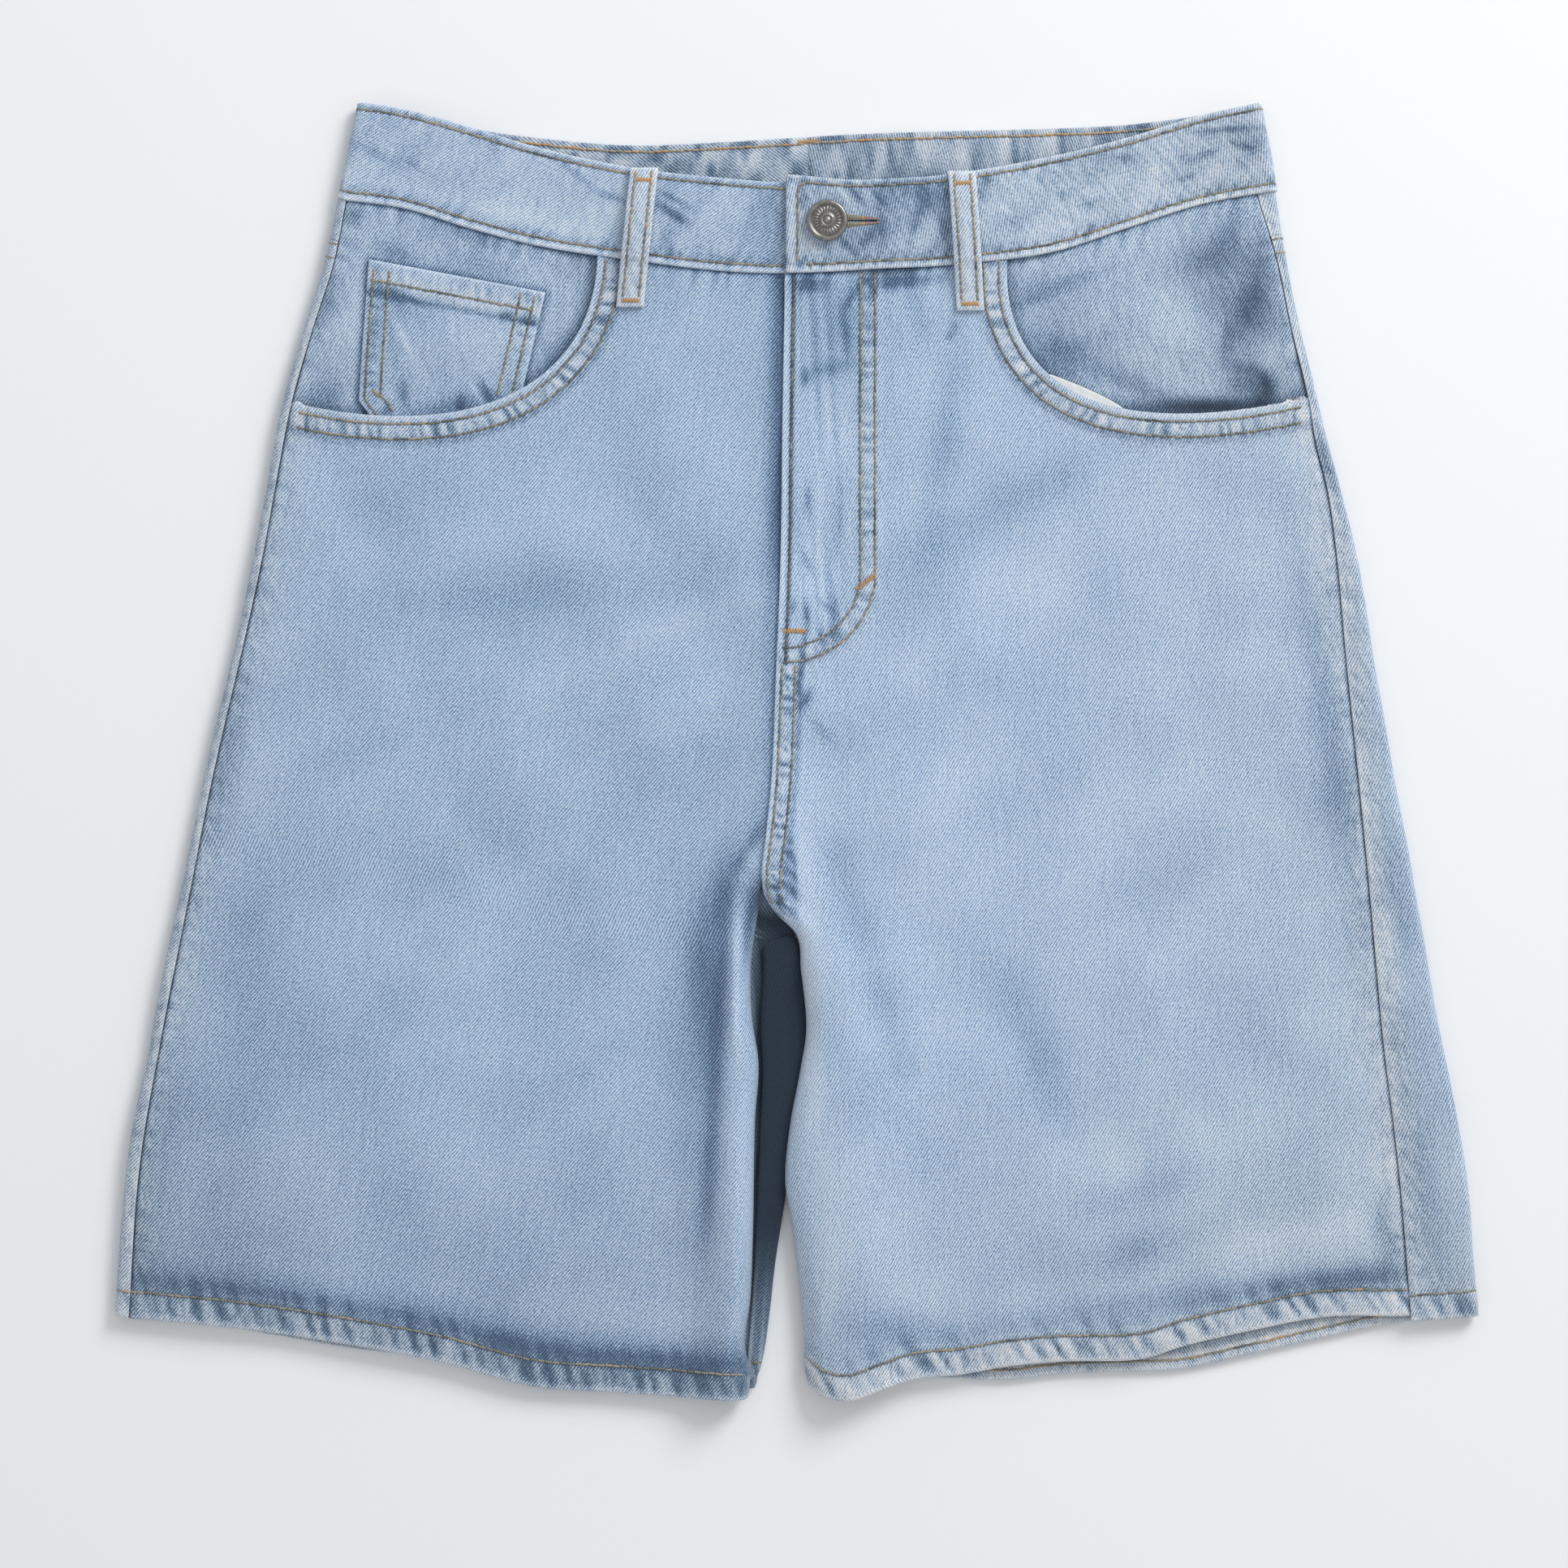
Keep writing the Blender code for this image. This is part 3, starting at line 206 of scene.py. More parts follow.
RIGHT_HEM = table(
    "x front back",
    (-283, -232.0, -232.0), (-234, -236.3, -236.8), (-189, -242.8, -244.6), (-145, -251.0, -250.0),
    (-109, -260.5, -256.5), (-73, -263.2, -260.5), (-40, -265.3, -262.8), (-15, -266.2, -262.0),
)
LEFT_HEM = table(
    "x front back",
    (-5, -252.0, -252.0), (3, -258.5, -256.0), (11, -264.5, -258.5), (21, -266.1, -259.5),
    (34, -261.8, -258.5), (48, -257.6, -257.2), (66, -256.2, -257.8), (86, -252.6, -258.4),
    (108, -250.6, -256.0), (143, -249.2, -254.8), (157, -244.6, -254.0), (190, -237.0, -247.0),
    (217, -232.2, -240.8), (245, -231.8, -235.2), (283, -232.0, -232.0),
)
HEMS = {-1: RIGHT_HEM, 1: LEFT_HEM}

# The yoke's seam on the back: Y at the side and at the centre.
YOKE_SIDE_X = 198.0
YOKE_SIDE = 212.0
YOKE_CENTRE = 152.0

# Large folds of the front: a ridge (or, below zero, a trough) along the line from start to end.
FOLDS = table(
    "start end height width",
    ((-45, 222), (62, 222), 5.0, 42),  # the waist stands open over the belly
    ((-8, 60), (-13, -48), 3.4, 17),  # the stiff centre seam
    ((-23, -86), (-27, -268), 8.0, 15),  # the ridge inside the right leg
    ((17, -92), (24, -264), 7.2, 23),  # and inside the left leg
    ((-70, 47), (-24, 64), 1.0, 6),  # whiskers from the crotch across the thighs
    ((-84, 12), (-22, 22), 0.7, 7),
    ((28, 8), (70, 42), 0.8, 9),
    ((14, -42), (34, -112), -1.0, 8),
    ((-190, 62), (-100, 66), -0.7, 11),  # across the hips
    ((56, 88), (104, 112), -0.8, 11),
    ((88, -100), (114, -158), -0.9, 12),  # down the left thigh
    ((128, -60), (160, -130), 0.7, 16),
    ((-60, -120), (-150, -190), 0.8, 22),  # down the right thigh
    ((96, -238), (172, -232), 1.6, 13),  # the left hem lifts off the back
    ((-215, -222), (-150, -234), 0.8, 12),
)

# ---- how finely each piece is drawn, as (from, to, step) stretches or as counts ----
FRONT_ROW_STEPS = ((196, 94, 1.05), (94, -250, 2.1), (-250, -266, 1.0))
MOUTH_ROWS = 97  # rows of a front that start on the pocket mouth
FRONT_COLUMN_STEPS = ((260, 250, 1.0), (250, 16, 2.1), (16, 0, 1.1))
BACK_TOP_ROWS = 14
STRIP_COLUMNS = 12
FOLD_COLUMNS = 12
BED_COLUMNS = 70
INSEAM_FOLD_COLUMNS = 8
RETURN_COLUMNS = 8
LEAST_RETURN = 3.0
YOKE_ROWS = 26
BAND_ROW_STEPS = ((0, 6, 0.75), (6, 32, 1.3), (32, 38, 0.75))
BAND_FRONT_COLUMNS = 130
BAND_FOLD_COLUMNS = 12
BAND_BACK_COLUMNS = 66
FACING_STEPS = 80
FACING_MOUTH = 161
FACING_CORNER = 68
COIN_POCKET_STEPS = 54
MOUTH_POINTS = 41
LINING_MOUTH_POINTS = 201
LINING_COLUMNS = 40
LINING_ROWS = 12
SETTLING_ROUNDS = 8
RIM_ANGLES = (45, 90, 135)  # each edge is a half round with a row of points at these angles
RIM_BULGE = 0.2  # how far that half round stands out
BAND_BULGE = 0.45  # and on the waistband
RIM_FLAT = 0.5  # how much further the weave runs on at each of its rows

# ---- sewing ----
STITCH_LENGTH = 3.1
STITCH_SKEW = 0.11  # spread of its two ends to either side
THREAD_RADIUS = 0.46
TONE_SPREAD = 0.09  # of neighbouring stitches
BAND_TOP_STITCH = 2.4  # from the waistband's top edge
BAND_FOOT_STITCH = 3.0  # from its seam
MOUTH_STITCHES = (3.3, 9.5)  # from the pocket mouth
HEM_STITCH = 10.4  # from the hem's edge
HEM_ROW_ENDS = {-1: (-275, -22), 1: (275, 4)}  # X of the row on each front
HEM_INSIDE_STITCHES = {-1: 10.4, 1: 3.6}  # and on the back's inner face
LOOP_STITCH = 3.3  # from the belt loop's middle
FLY_ROWS = 6.0  # between the two rows round the fly
FLY_EDGE_TOP = 197.0  # Y where the row on the fly's edge starts
FELL_ROWS = (2.2, 7.7)  # from the centre seam's edge, below the fly
FELL_TURN = ((-12.0, -58.5), (-11.3, -61.5), (-9.6, -63.2), (-7.6, -63.6))  # the outer row's foot
FELL_END = ((-6.9, -60), (-7.1, -66), (-7.3, -69))  # and the inner row's
NAVY, TAN, DUSTY, BRASS, ORANGE = 0.06, 0.32, 0.47, 0.66, 0.88  # tones of thread
TACK_PITCH = 0.55  # bars of close stitches
TACK_RADIUS = 0.3
TACK_LEAN = 0.35
TACK_SPREAD = 0.12  # of their tones
COIN_POCKET_HEM_STITCH = 8.0
COIN_POCKET_SIDES = ((2.2, 8.6), (3.6, 9.4))  # rows from its two sides
COIN_POCKET_KNOT = ((-174.2, 148.0), (-171.4, 145.4))
COIN_POCKET_KNOT_WIDTH = 1.4
FLY_EDGE_STITCH = 3.5  # from the fly's edge
OVERLAP_STITCH = 4.4  # from the edge of the waistband's left end
OVERLAP_CORNER = 3.0  # radius at which the row turns down that edge
LOOP_ROWS = 60
LOOP_COLUMNS = 17
LOOP_BARTACKS = (5.0, 54.0)  # along the loop, from its top
LOOP_BAR_WIDTH = 2.0
FLY_BARTACKS = (((24.7, 66.3), (32.0, 72.3)), ((-5.5, 49.0), (3.3, 49.0)))
FLY_BAR_WIDTH = 2.4
SATIN_TONES = (0.42, 0.48, 1.35)  # beside the eyelet, after it and at the bar
SATIN_TONES_AT = (12, 26, 28)  # X of each
SATIN_START = 2.5  # from the button's middle to the first stitches
SATIN_PITCH = 0.62
SATIN_LENGTHS = (3.0, 0.8)  # up to SATIN_SHORTENS, and at the bar
SATIN_SHORTENS = 16
SATIN_INSET = 0.1  # from the slit's edge
SATIN_LEAN = 0.15
SATIN_SPREAD = 0.07  # of their tones
THREAD_SIDES = 6
STITCH_RINGS = (  # along the stitch, radius and height above the cloth
    (0, 0.7, -0.3), (0.14, 0.95, 0.3), (0.5, 1.05, 0.6), (0.86, 0.95, 0.3), (1, 0.7, -0.3)
)

# ---- button: (radius, height) from its underside over a rim, a beaded groove and a domed middle ----
BUTTON_PROFILE = (
    (2.2, 0.0), (7.4, 0.0), (7.9, 0.12), (8.3, 0.45), (8.5, 0.9), (8.5, 1.9), (8.36, 2.4), (8.1, 2.75),
    (7.8, 2.93), (7.4, 3.0), (7.0, 2.95), (6.7, 2.75), (6.45, 2.52), (6.2, 2.45), (5.6, 2.46),
    (5.1, 2.48), (4.6, 2.5), (4.1, 2.52), (3.7, 2.54), (3.3, 2.6), (3.0, 2.8), (2.75, 3.02),
    (2.4, 3.14), (2.1, 3.12), (1.85, 2.98), (1.6, 2.95), (1.3, 3.05), (0.9, 3.22), (0.45, 3.32),
)
BUTTON_HEIGHT = 3.35
AXIS = 0.01  # radius of a profile's closed ends
BUTTON_SEGMENTS = 120
BEADS = 24
BEAD_HEIGHT = 0.45
BEAD_RING = 4.6  # radius of the groove's middle, where they lie
BEAD_REACH = 0.8  # how far they reach to either side of it
BEADS_FROM = 2.0  # height over which the profile carries them

# ---- finishes ----
WALE_ANGLE = 30.0
WALE_PITCH = 1.05
YARN_PITCH = 0.85
WALE_WOBBLE = 0.55
WALE_TONE, SLUB_TONE, FLECK_TONE, CLOUD_TONE, MOTTLE_TONE = 0.72, 0.3, 1.1, 0.3, 2.6
PALE_TONE, DEEP_TONE = 0.32, 0.56
PLAIN_LEVEL = 0.48  # of cloth that is neither pale nor deep
WALE_RELIEF, FLECK_RELIEF = 0.1, 0.22
STREAK_WARMTH = 1.6
RIGHT_TURN = 11.0  # degrees that the weave is turned on the right leg
BAND_TURNS = {-1: 23.0, 1: -17.0}
DENIM_BLUES = (  # from its dyed dark to its washed pale, by level
    (0.0, (0.045, 0.09, 0.175)), (0.25, (0.165, 0.275, 0.43)), (0.5, (0.362, 0.505, 0.705)),
    (0.75, (0.552, 0.66, 0.785)), (1.0, (0.78, 0.82, 0.84)),
)
# colour of painted shade, which darkens the denim in gaps, ditches and the slit between the legs
DEEP_SHADE = (0.002, 0.012, 0.026, 1)
COOL = (0.94, 1.0, 1.03, 1)  # multiplies the blue in its clouds
WARM = (1.15, 1.0, 0.87, 1)  # and where it has yellowed
WARMER = (  # along an axis, from and to in metres, and how much the blue has yellowed there
    (0, 0.07, 0.25, 0.42),
    (0, -0.17, -0.27, 0.3),
    (1, -0.13, -0.25, 0.4),
)
THREAD_TONES = (  # navy, tan, brass, orange and faded pink, by tone
    (0.0, (0.07, 0.08, 0.065)), (0.12, (0.135, 0.145, 0.115)), (0.22, (0.215, 0.2, 0.165)),
    (0.32, (0.275, 0.25, 0.2)), (0.42, (0.36, 0.345, 0.28)), (0.58, (0.45, 0.32, 0.17)),
    (0.8, (0.66, 0.31, 0.08)), (0.92, (0.66, 0.33, 0.12)), (1.0, (0.35, 0.22, 0.2)),
)
COTTON_WHITES = ((0.0, (0.6, 0.62, 0.62)), (1.0, (0.86, 0.86, 0.83)))
YARNS_PER_MM = 2.2
NICKEL_TONES = ((0.0, (0.07, 0.065, 0.06)), (0.45, (0.3, 0.29, 0.27)), (1.0, (0.62, 0.61, 0.58)))

# ---- floor in mm, light and camera in metres ----
FLOOR_SIZE = 6000.0
FLOOR_Z = -0.8  # just under the stitches of the underside
FLOOR_COLOUR = (0.9, 0.9, 0.9)
SURROUND = 0.62
SURROUND_COLOUR = (0.95, 0.97, 1.0, 1)
KEY_AT = (1.6, 1.9, 1.7)
KEY_SIZE = 1.3
KEY_POWER = 60.0
CAMERA_AT = (-0.0053, -0.0137, 2.0)
VIEW_WIDTH = 0.644
SENSOR = 36.0  # the camera's, in mm


# ======== curves ========
def follow(rows, column, at):
    """A smooth curve through a column of a table over its first one: cubic pieces whose slopes are
    the mean of those on either side. Beyond the table it keeps its last value."""
    known = np.array([row[0] for row in rows], float)
    values = np.array([getattr(row, column) for row in rows], float)
    order = np.argsort(known)
    known, values = known[order], values[order]
    at = np.clip(np.asarray(at, float), known[0], known[-1])
    step = np.diff(known)
    chord = np.diff(values) / step
    slope = np.concatenate([chord[:1], (chord[:-1] + chord[1:]) / 2, chord[-1:]])
    i = np.clip(np.searchsorted(known, at) - 1, 0, len(step) - 1)
    t = (at - known[i]) / step[i]
    return (
        values[i] * (1 + 2 * t) * (1 - t) ** 2
        + values[i + 1] * t**2 * (3 - 2 * t)
        + step[i] * (slope[i] * t * (1 - t) ** 2 - slope[i + 1] * t**2 * (1 - t))
    )


def ease(t):
    """0 below 0, 1 above 1, and a smooth step between."""
    t = np.clip(t, 0, 1)
    return t * t * (3 - 2 * t)


def between(x, limits):
    """0 before the first limit, 1 after the second, and a smooth step between."""
    return ease((x - limits[0]) / (limits[1] - limits[0]))


def mix(a, b, t):
    return a * (1 - t) + b * t


def stacked(*columns):
    """Points from their columns, each an array or one number for all."""
    return np.stack(np.broadcast_arrays(*columns), -1)


def unit(vectors):
    return vectors / np.linalg.norm(vectors, axis=-1, keepdims=True)


def walk(points):
    """Distance walked along a line, or along each row of a grid, from its first point."""
    step = np.linalg.norm(np.diff(points, axis=-2), axis=-1)
    return np.concatenate([np.zeros((*step.shape[:-1], 1)), np.cumsum(step, axis=-1)], -1)


def read_at(at, walked, values):
    """What is known at each point of a line, read between them at these distances along it."""
    return np.stack([np.interp(at, walked, column) for column in values.T], -1)


def along_line(points, share):
    """Points at these shares of a polyline's length."""
    points = np.asarray(points, float)
    walked = walk(points)
    return read_at(np.asarray(share) * walked[-1], walked, points)


def near(x, y, line):
    """Distance of each (x, y) from a polyline, and how far along it the nearest point lies."""
    found, run, walked = np.full(np.shape(x), np.inf), np.zeros(np.shape(x)), 0.0
    for (x0, y0), (x1, y1) in zip(line[:-1], line[1:]):
        length = math.hypot(x1 - x0, y1 - y0)
        t = np.clip(((x - x0) * (x1 - x0) + (y - y0) * (y1 - y0)) / length**2, 0, 1)
        away = np.hypot(x - x0 - t * (x1 - x0), y - y0 - t * (y1 - y0))
        run = np.where(away < found, walked + t * length, run)
        found = np.minimum(found, away)
        walked += length
    return found, run


def beside(line, inset):
    """A line this far to the right of an (x, y) line as it is walked."""
    tangent = np.gradient(np.asarray(line, float), axis=0)
    return line + inset * unit(stacked(tangent[:, 1], -tangent[:, 0]))


def seam_x(side, y):
    """X of the side seam."""
    return follow(SIDES[side], "seam", y)


def waist_y(x):
    """Y of the seam between the front and its waistband."""
    return follow(WAIST, "front_seam", x)


def centre_front(y):
    """X of the left front's inner edge, which is the centre seam down to the crotch."""
    return follow(LEFT_FRONT_INNER, "x", y)


def hem_line(side, column, x):
    return follow(HEMS[side], column, x)


def pocket_mouth(side, count=MOUTH_POINTS):
    """The mouth's edge from the waistband to the side seam: a cubic Bezier."""
    mouth = MOUTHS[side]
    corners = np.array([
        (mouth.start_x, waist_y(mouth.start_x)),
        mouth.handle_top,
        mouth.handle_side,
        (seam_x(side, mouth.end_y), mouth.end_y),
    ])
    t = np.linspace(0, 1, count)[:, None]
    weights = ((1 - t) ** 3, 3 * t * (1 - t) ** 2, 3 * t**2 * (1 - t), t**3)
    return sum(weight * corner for weight, corner in zip(weights, corners))


# ======== heights ========
def laid_height(x, y):
    """Height of the front's outer face: the laid height and the large folds on it."""
    height = np.full(np.shape(x), LAID_HEIGHT, float)
    for fold in FOLDS:
        away, _ = near(x, y, (fold.start, fold.end))
        height = height + fold.height * np.exp(-((away / fold.width) ** 2))
    return height


def near_side(side, x, y):
    """1 on the side seam, falling to 0 over a few centimetres."""
    return 1 - ease(side * (seam_x(side, y) - x) / SIDE_CALM)


def front_height(side, x, y):
    return mix(laid_height(x, y), LAID_HEIGHT, near_side(side, x, y))


def fly_edge(y):
    """X of the fly's topstitching: straight, then a quarter of an ellipse to the centre seam."""
    drop = np.clip((FLY_BEND - y) / (FLY_BEND - FLY_FOOT), 0, 1)
    centre = centre_front(FLY_FOOT)
    return centre + (FLY_WIDTH - centre) * np.sqrt(1 - drop**2)


def fly_rise(x, y):
    """The left front stands higher over the fly's facing and over the centre seam."""
    fell = centre_front(y) + FELL_WIDTH
    edge = np.where(y > FLY_FOOT, np.maximum(fly_edge(y), fell), fell)
    across = 1 - ease((x - edge) / FLY_STEP + 0.3)
    return FLY_RISE * across * ease((y - FELL_FOOT) / FELL_FADE)


def facing_height(side, x, y):
    """The hip facing hangs below the front along the pocket mouth and rises to the waist."""
    mouth = pocket_mouth(side)
    reach = side * (x - mouth[0, 0])
    span = np.maximum.accumulate(side * (mouth[:, 0] - mouth[0, 0]))
    open_side = (reach > 0) & (y > np.interp(reach, span, mouth[:, 1]))
    away = near(x, y, mouth)[0] * open_side
    from_waist = waist_y(x) - y
    from_side = side * (seam_x(side, y) - x)
    free = ease(np.minimum(from_waist, from_side) / FACING_FREE)
    drop = mix(FACING_DROP_AT_SEAM, FACING_DROP, free)
    hang = drop * (1 - ease((away - FACING_LIP) / FACING_SLOPE))
    return np.maximum(front_height(side, x, y) - hang, LAID_HEIGHT - FACING_DROP)


def band_height(side, x, y):
    """Outer face of the front waistband: the left end lies over the right one."""
    height = front_height(side, x, y) + BAND_RISE
    if side < 0:
        return height - UNDERLAP_DROP * between(x, UNDERLAP_SLOPE)
    return height + OVERLAP_LIFT * (1 - between(x, OVERLAP_SLOPE))


def facing_up(points):
    """Unit normals of a grid of points, turned upwards."""
    across = np.gradient(points, axis=1)
    down = np.gradient(points, axis=0)
    normal = np.cross(across, down)
    return unit(normal * np.where(normal[..., 2:] < 0, -1, 1))


def share_along(points):
    walked = walk(points)
    return walked / walked[-1]


def patch(top, foot, first, last, across=None, down=None):
    """The Coons patch between four edges of (x, y) points. Rows run from top to foot, and across
    and down are the shares of the way at which its columns and rows lie."""
    across = (share_along(top) if across is None else across)[None, :, None]
    down = (share_along(first) if down is None else down)[:, None, None]
    sides = mix(first[:, None], last[:, None], across)
    ends = mix(top[None], foot[None], down)
    corners = mix(mix(top[0], top[-1], across), mix(foot[0], foot[-1], across), down)
    return sides + ends - corners


def spaced(stretches):
    """Values along (from, to, step) stretches, each divided evenly."""
    parts = [
        np.linspace(start, end, max(1, round(abs(end - start) / step)), endpoint=False)
        for start, end, step in stretches
    ]
    return np.concatenate([*parts, [stretches[-1][1]]])


def turn_flat(u, v, degrees):
    """Cloth coordinates (u, v) turned, which turns the weave the other way."""
    c, s = math.cos(math.radians(degrees)), math.sin(math.radians(degrees))
    return stacked(c * u - s * v, s * u + c * v)


# ======== wash, wear and painted light and shade ===
FAR = 99.0  # a distance that no crease or seam reaches
CREASE_TAPER = 0.3  # share of its length over which a crease comes up at either end

# A row of puckers beside a seam: how high its waves are, how long, how far they lean along the
# seam for each mm away from it, how far from the seam they are at their highest and how far they
# reach from there, and how pale their tops and how deep blue their hollows are.
Pucker = namedtuple("Pucker", "height pitch lean middle reach pale deep seed")

# A soft patch: its middle, half its length and width, how far it is turned from +X in degrees, and
# how much paler and deeper blue the cloth is there and how much painted shade darkens it. Some
# patches stand for light and shade rather than the cloth's own colour: pale ones paint highlights on
# lit folds, deeper blue and darker ones paint shadows beside folds, edges and belt loops.
Tone = namedtuple("Tone", "x y length width turn pale deep shade", defaults=(0, 0))

# A crease from (x0, y0) to (x1, y1): its height or depth and its width, and its tones: how much
# paler and deeper blue it is and how much painted shade darkens it.
Crease = namedtuple("Crease", "x0 y0 x1 y1 width height pale deep shade", defaults=(0, 0, 0))


def ripple(run, pitch, seed):
    """An uneven wave from -1 to 1: a sine whose length wanders and whose height comes and goes."""
    turn = 2 * math.pi * run / pitch
    wander = 1.1 * np.sin(turn / 3.7 + seed) + 0.7 * np.sin(turn / 1.7 + 2.3 * seed)
    return np.sin(turn + wander) * (0.62 + 0.38 * np.sin(turn / 5.3 + 1.7 * seed))


class Marks:
    """What sewing, washing and wearing leave on each point of a piece, and the light and shade painted
    on it: its relief in mm and, from 0 to 1, how pale, how deep blue, how dark with painted shade and
    how streaky its cloth is. Pale and deep blue also carry some painted highlights and shadows."""

    def __init__(self, x, streaks):
        self.height, self.pale, self.deep, self.shade = (np.zeros(np.shape(x)) for _ in range(4))
        self.streaks = np.full(np.shape(x), float(streaks))

    def add(self, bell, height=0.0, pale=0.0, deep=0.0, shade=0.0, streaks=0.0):
        self.height += height * bell
        self.pale += pale * bell
        self.deep += deep * bell
        self.shade += shade * bell
        self.streaks += streaks * bell

    def pucker(self, away, run, kind, share=1.0):
        """Waves beside a seam: the uneven wave times a bell round the distance kind.middle."""
        wave = ripple(run + kind.lean * away, kind.pitch, kind.seed)
        wave = wave * share * np.exp(-(((away - kind.middle) / kind.reach) ** 2))
        self.height += kind.height * wave
        self.pale += kind.pale * np.clip(wave, 0, 1)
        self.deep += kind.deep * np.clip(-wave, 0, 1)

    def along(self, away, width, *levels, **named):
        """One even band along a line: a bell as wide as width."""
        self.add(np.exp(-((away / width) ** 2)), *levels, **named)

    def creases(self, x, y, creases):
        for crease in (Crease(*row) for row in creases):
            away, run = near(x, y, ((crease.x0, crease.y0), (crease.x1, crease.y1)))
            length = math.hypot(crease.x1 - crease.x0, crease.y1 - crease.y0)
            share = ease(np.minimum(run, length - run) / (CREASE_TAPER * length) + 0.2)
            self.along(away, crease.width, *(share * level for level in crease[5:]))

    def tones(self, x, y, tones):
        for tone in (Tone(*row) for row in tones):
            c, s = math.cos(math.radians(tone.turn)), math.sin(math.radians(tone.turn))
            along = ((x - tone.x) * c + (y - tone.y) * s) / tone.length
            across = ((y - tone.y) * c - (x - tone.x) * s) / tone.width
            self.add(np.exp(-(along**2) - across**2), 0, tone.pale, tone.deep, tone.shade)

    def wear_and_shading(self):
        return np.clip(stacked(self.pale, self.deep, self.shade, self.streaks), 0, 1)


# ======== meshes ========
PIECES = {}  # the piece that stands for each node
TREES = {}  # and its faces, for what is sewn on it


def linked(name, data):
    """A new object in the scene."""
    made = bpy.data.objects.new(name, data)
    bpy.context.scene.collection.objects.link(made)
    return made


def new_mesh(name, points, faces, finish):
    """A smooth mesh object from an array of points in mm and an array of faces with as many corners
    each, at the origin and on the one body."""
    mesh = bpy.data.meshes.new(name)
    corners = faces.shape[1]
    mesh.vertices.add(len(points))
    mesh.vertices.foreach_set("co", (points * MM).astype(np.float32).ravel())
    mesh.loops.add(faces.size)
    mesh.loops.foreach_set("vertex_index", faces.astype(np.int32).ravel())
    mesh.polygons.add(len(faces))
    mesh.polygons.foreach_set("loop_start", np.arange(len(faces), dtype=np.int32) * corners)
    mesh.update(calc_edges=True)
    mesh.validate()
    mesh.shade_smooth()
    material, slot = finish
    mesh.materials.append(material)
    made = linked(name, mesh)
    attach(made, "root")
    return made


def set_flat(mesh, flat, faces):
    layer = mesh.uv_layers.new(name="cloth")
    layer.uv.foreach_set("vector", (flat * MM)[faces.ravel()].astype(np.float32).ravel())


# Each point's marks: pale, deep blue, painted shade and streaks, so worn colour and painted light together
def set_wear_and_shading(mesh, wear_and_shading):
    made = mesh.attributes.new("wear_and_shading", "FLOAT_COLOR", "POINT")
    made.data.foreach_set("color", wear_and_shading.astype(np.float32).ravel())


def cloth(name, outer, inner, flat, wear_and_shading, inner_wear_and_shading=None, bulge=RIM_BULGE, finish=None, hole=None):
    """A closed wall between two grids of points, as one piece that stands for its node. Its edge is
    a half round: at angle a it lies at the wall's middle + half the wall * cos(a), and bulge *
    sin(a) outwards. A hole is (row, first column, last column) of the faces that it leaves out."""
    rows, columns = outer.shape[:2]
    index = np.arange(rows * columns).reshape(rows, columns)
    outer_faces = np.stack([index[:-1, :-1], index[1:, :-1], index[1:, 1:], index[:-1, 1:]], -1)
    kept = np.ones((rows - 1, columns - 1), bool)
    if hole:
        kept[hole[0], hole[1] : hole[2]] = False
    outer_faces = outer_faces[kept]
    edge = np.concatenate([index[0, :-1], index[:-1, -1], index[-1, :0:-1], index[:0:-1, 0]])
    inwards = index[np.clip(edge // columns, 1, rows - 2), np.clip(edge % columns, 1, columns - 2)]
    upper, lower = outer.reshape(-1, 3), inner.reshape(-1, 3)
    across = upper[edge] - lower[edge]
    out = upper[edge] - upper[inwards]
    out = unit(out - across * (out * across).sum(-1, keepdims=True) / (across**2).sum(-1, keepdims=True))
    bulges = np.broadcast_to(bulge, (rows, columns)).reshape(-1)[edge][:, None]
    middle = (upper[edge] + lower[edge]) / 2
    rings = [
        middle + across / 2 * math.cos(math.radians(a)) + out * bulges * math.sin(math.radians(a))
        for a in RIM_ANGLES
    ]
    points = np.concatenate([upper, lower, *rings])
    count, long = rows * columns, len(edge)
    loops = [edge, *(2 * count + long * k + np.arange(long) for k in range(len(rings))), edge + count]
    rim = [np.stack([a, np.roll(a, -1), np.roll(b, -1), b], -1) for a, b in zip(loops, loops[1:])]
    if hole:
        row, first, last = hole
        ring = np.concatenate([index[row, first : last + 1][::-1], index[row + 1, first : last + 1]])
        ring = np.stack([ring, np.roll(ring, -1)], -1)
        rim.append(np.concatenate([ring, ring[:, ::-1] + count], 1))
    faces = np.concatenate([outer_faces, outer_faces[:, ::-1] + count, *rim])
    middle_face = len(outer_faces) // 2
    a, b, c = (upper[outer_faces[middle_face, k]] for k in range(3))
    if np.dot(np.cross(b - a, c - a), a - lower[outer_faces[middle_face, 0]]) < 0:
        faces = faces[:, ::-1]
    made = new_mesh(name, points, faces, finish or DENIM_CLOTH)
    flat = flat.reshape(-1, 2)
    out_flat = flat[edge] - flat[inwards]
    out_flat /= np.maximum(np.linalg.norm(out_flat, axis=-1, keepdims=True), 1e-6)
    ring_flats = [flat[edge] + out_flat * RIM_FLAT * (k + 1) for k in range(len(rings))]
    set_flat(made.data, np.concatenate([flat, flat, *ring_flats]), faces)
    inner_wear_and_shading = wear_and_shading if inner_wear_and_shading is None else inner_wear_and_shading
    face_wear_and_shading = wear_and_shading.reshape(-1, 4)
    set_wear_and_shading(
        made.data,
        np.concatenate([face_wear_and_shading, inner_wear_and_shading.reshape(-1, 4), *[face_wear_and_shading[edge]] * len(rings)]),
    )
    node = name.removesuffix("_cloth")
    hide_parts(node)
    PIECES[node] = made
    return made


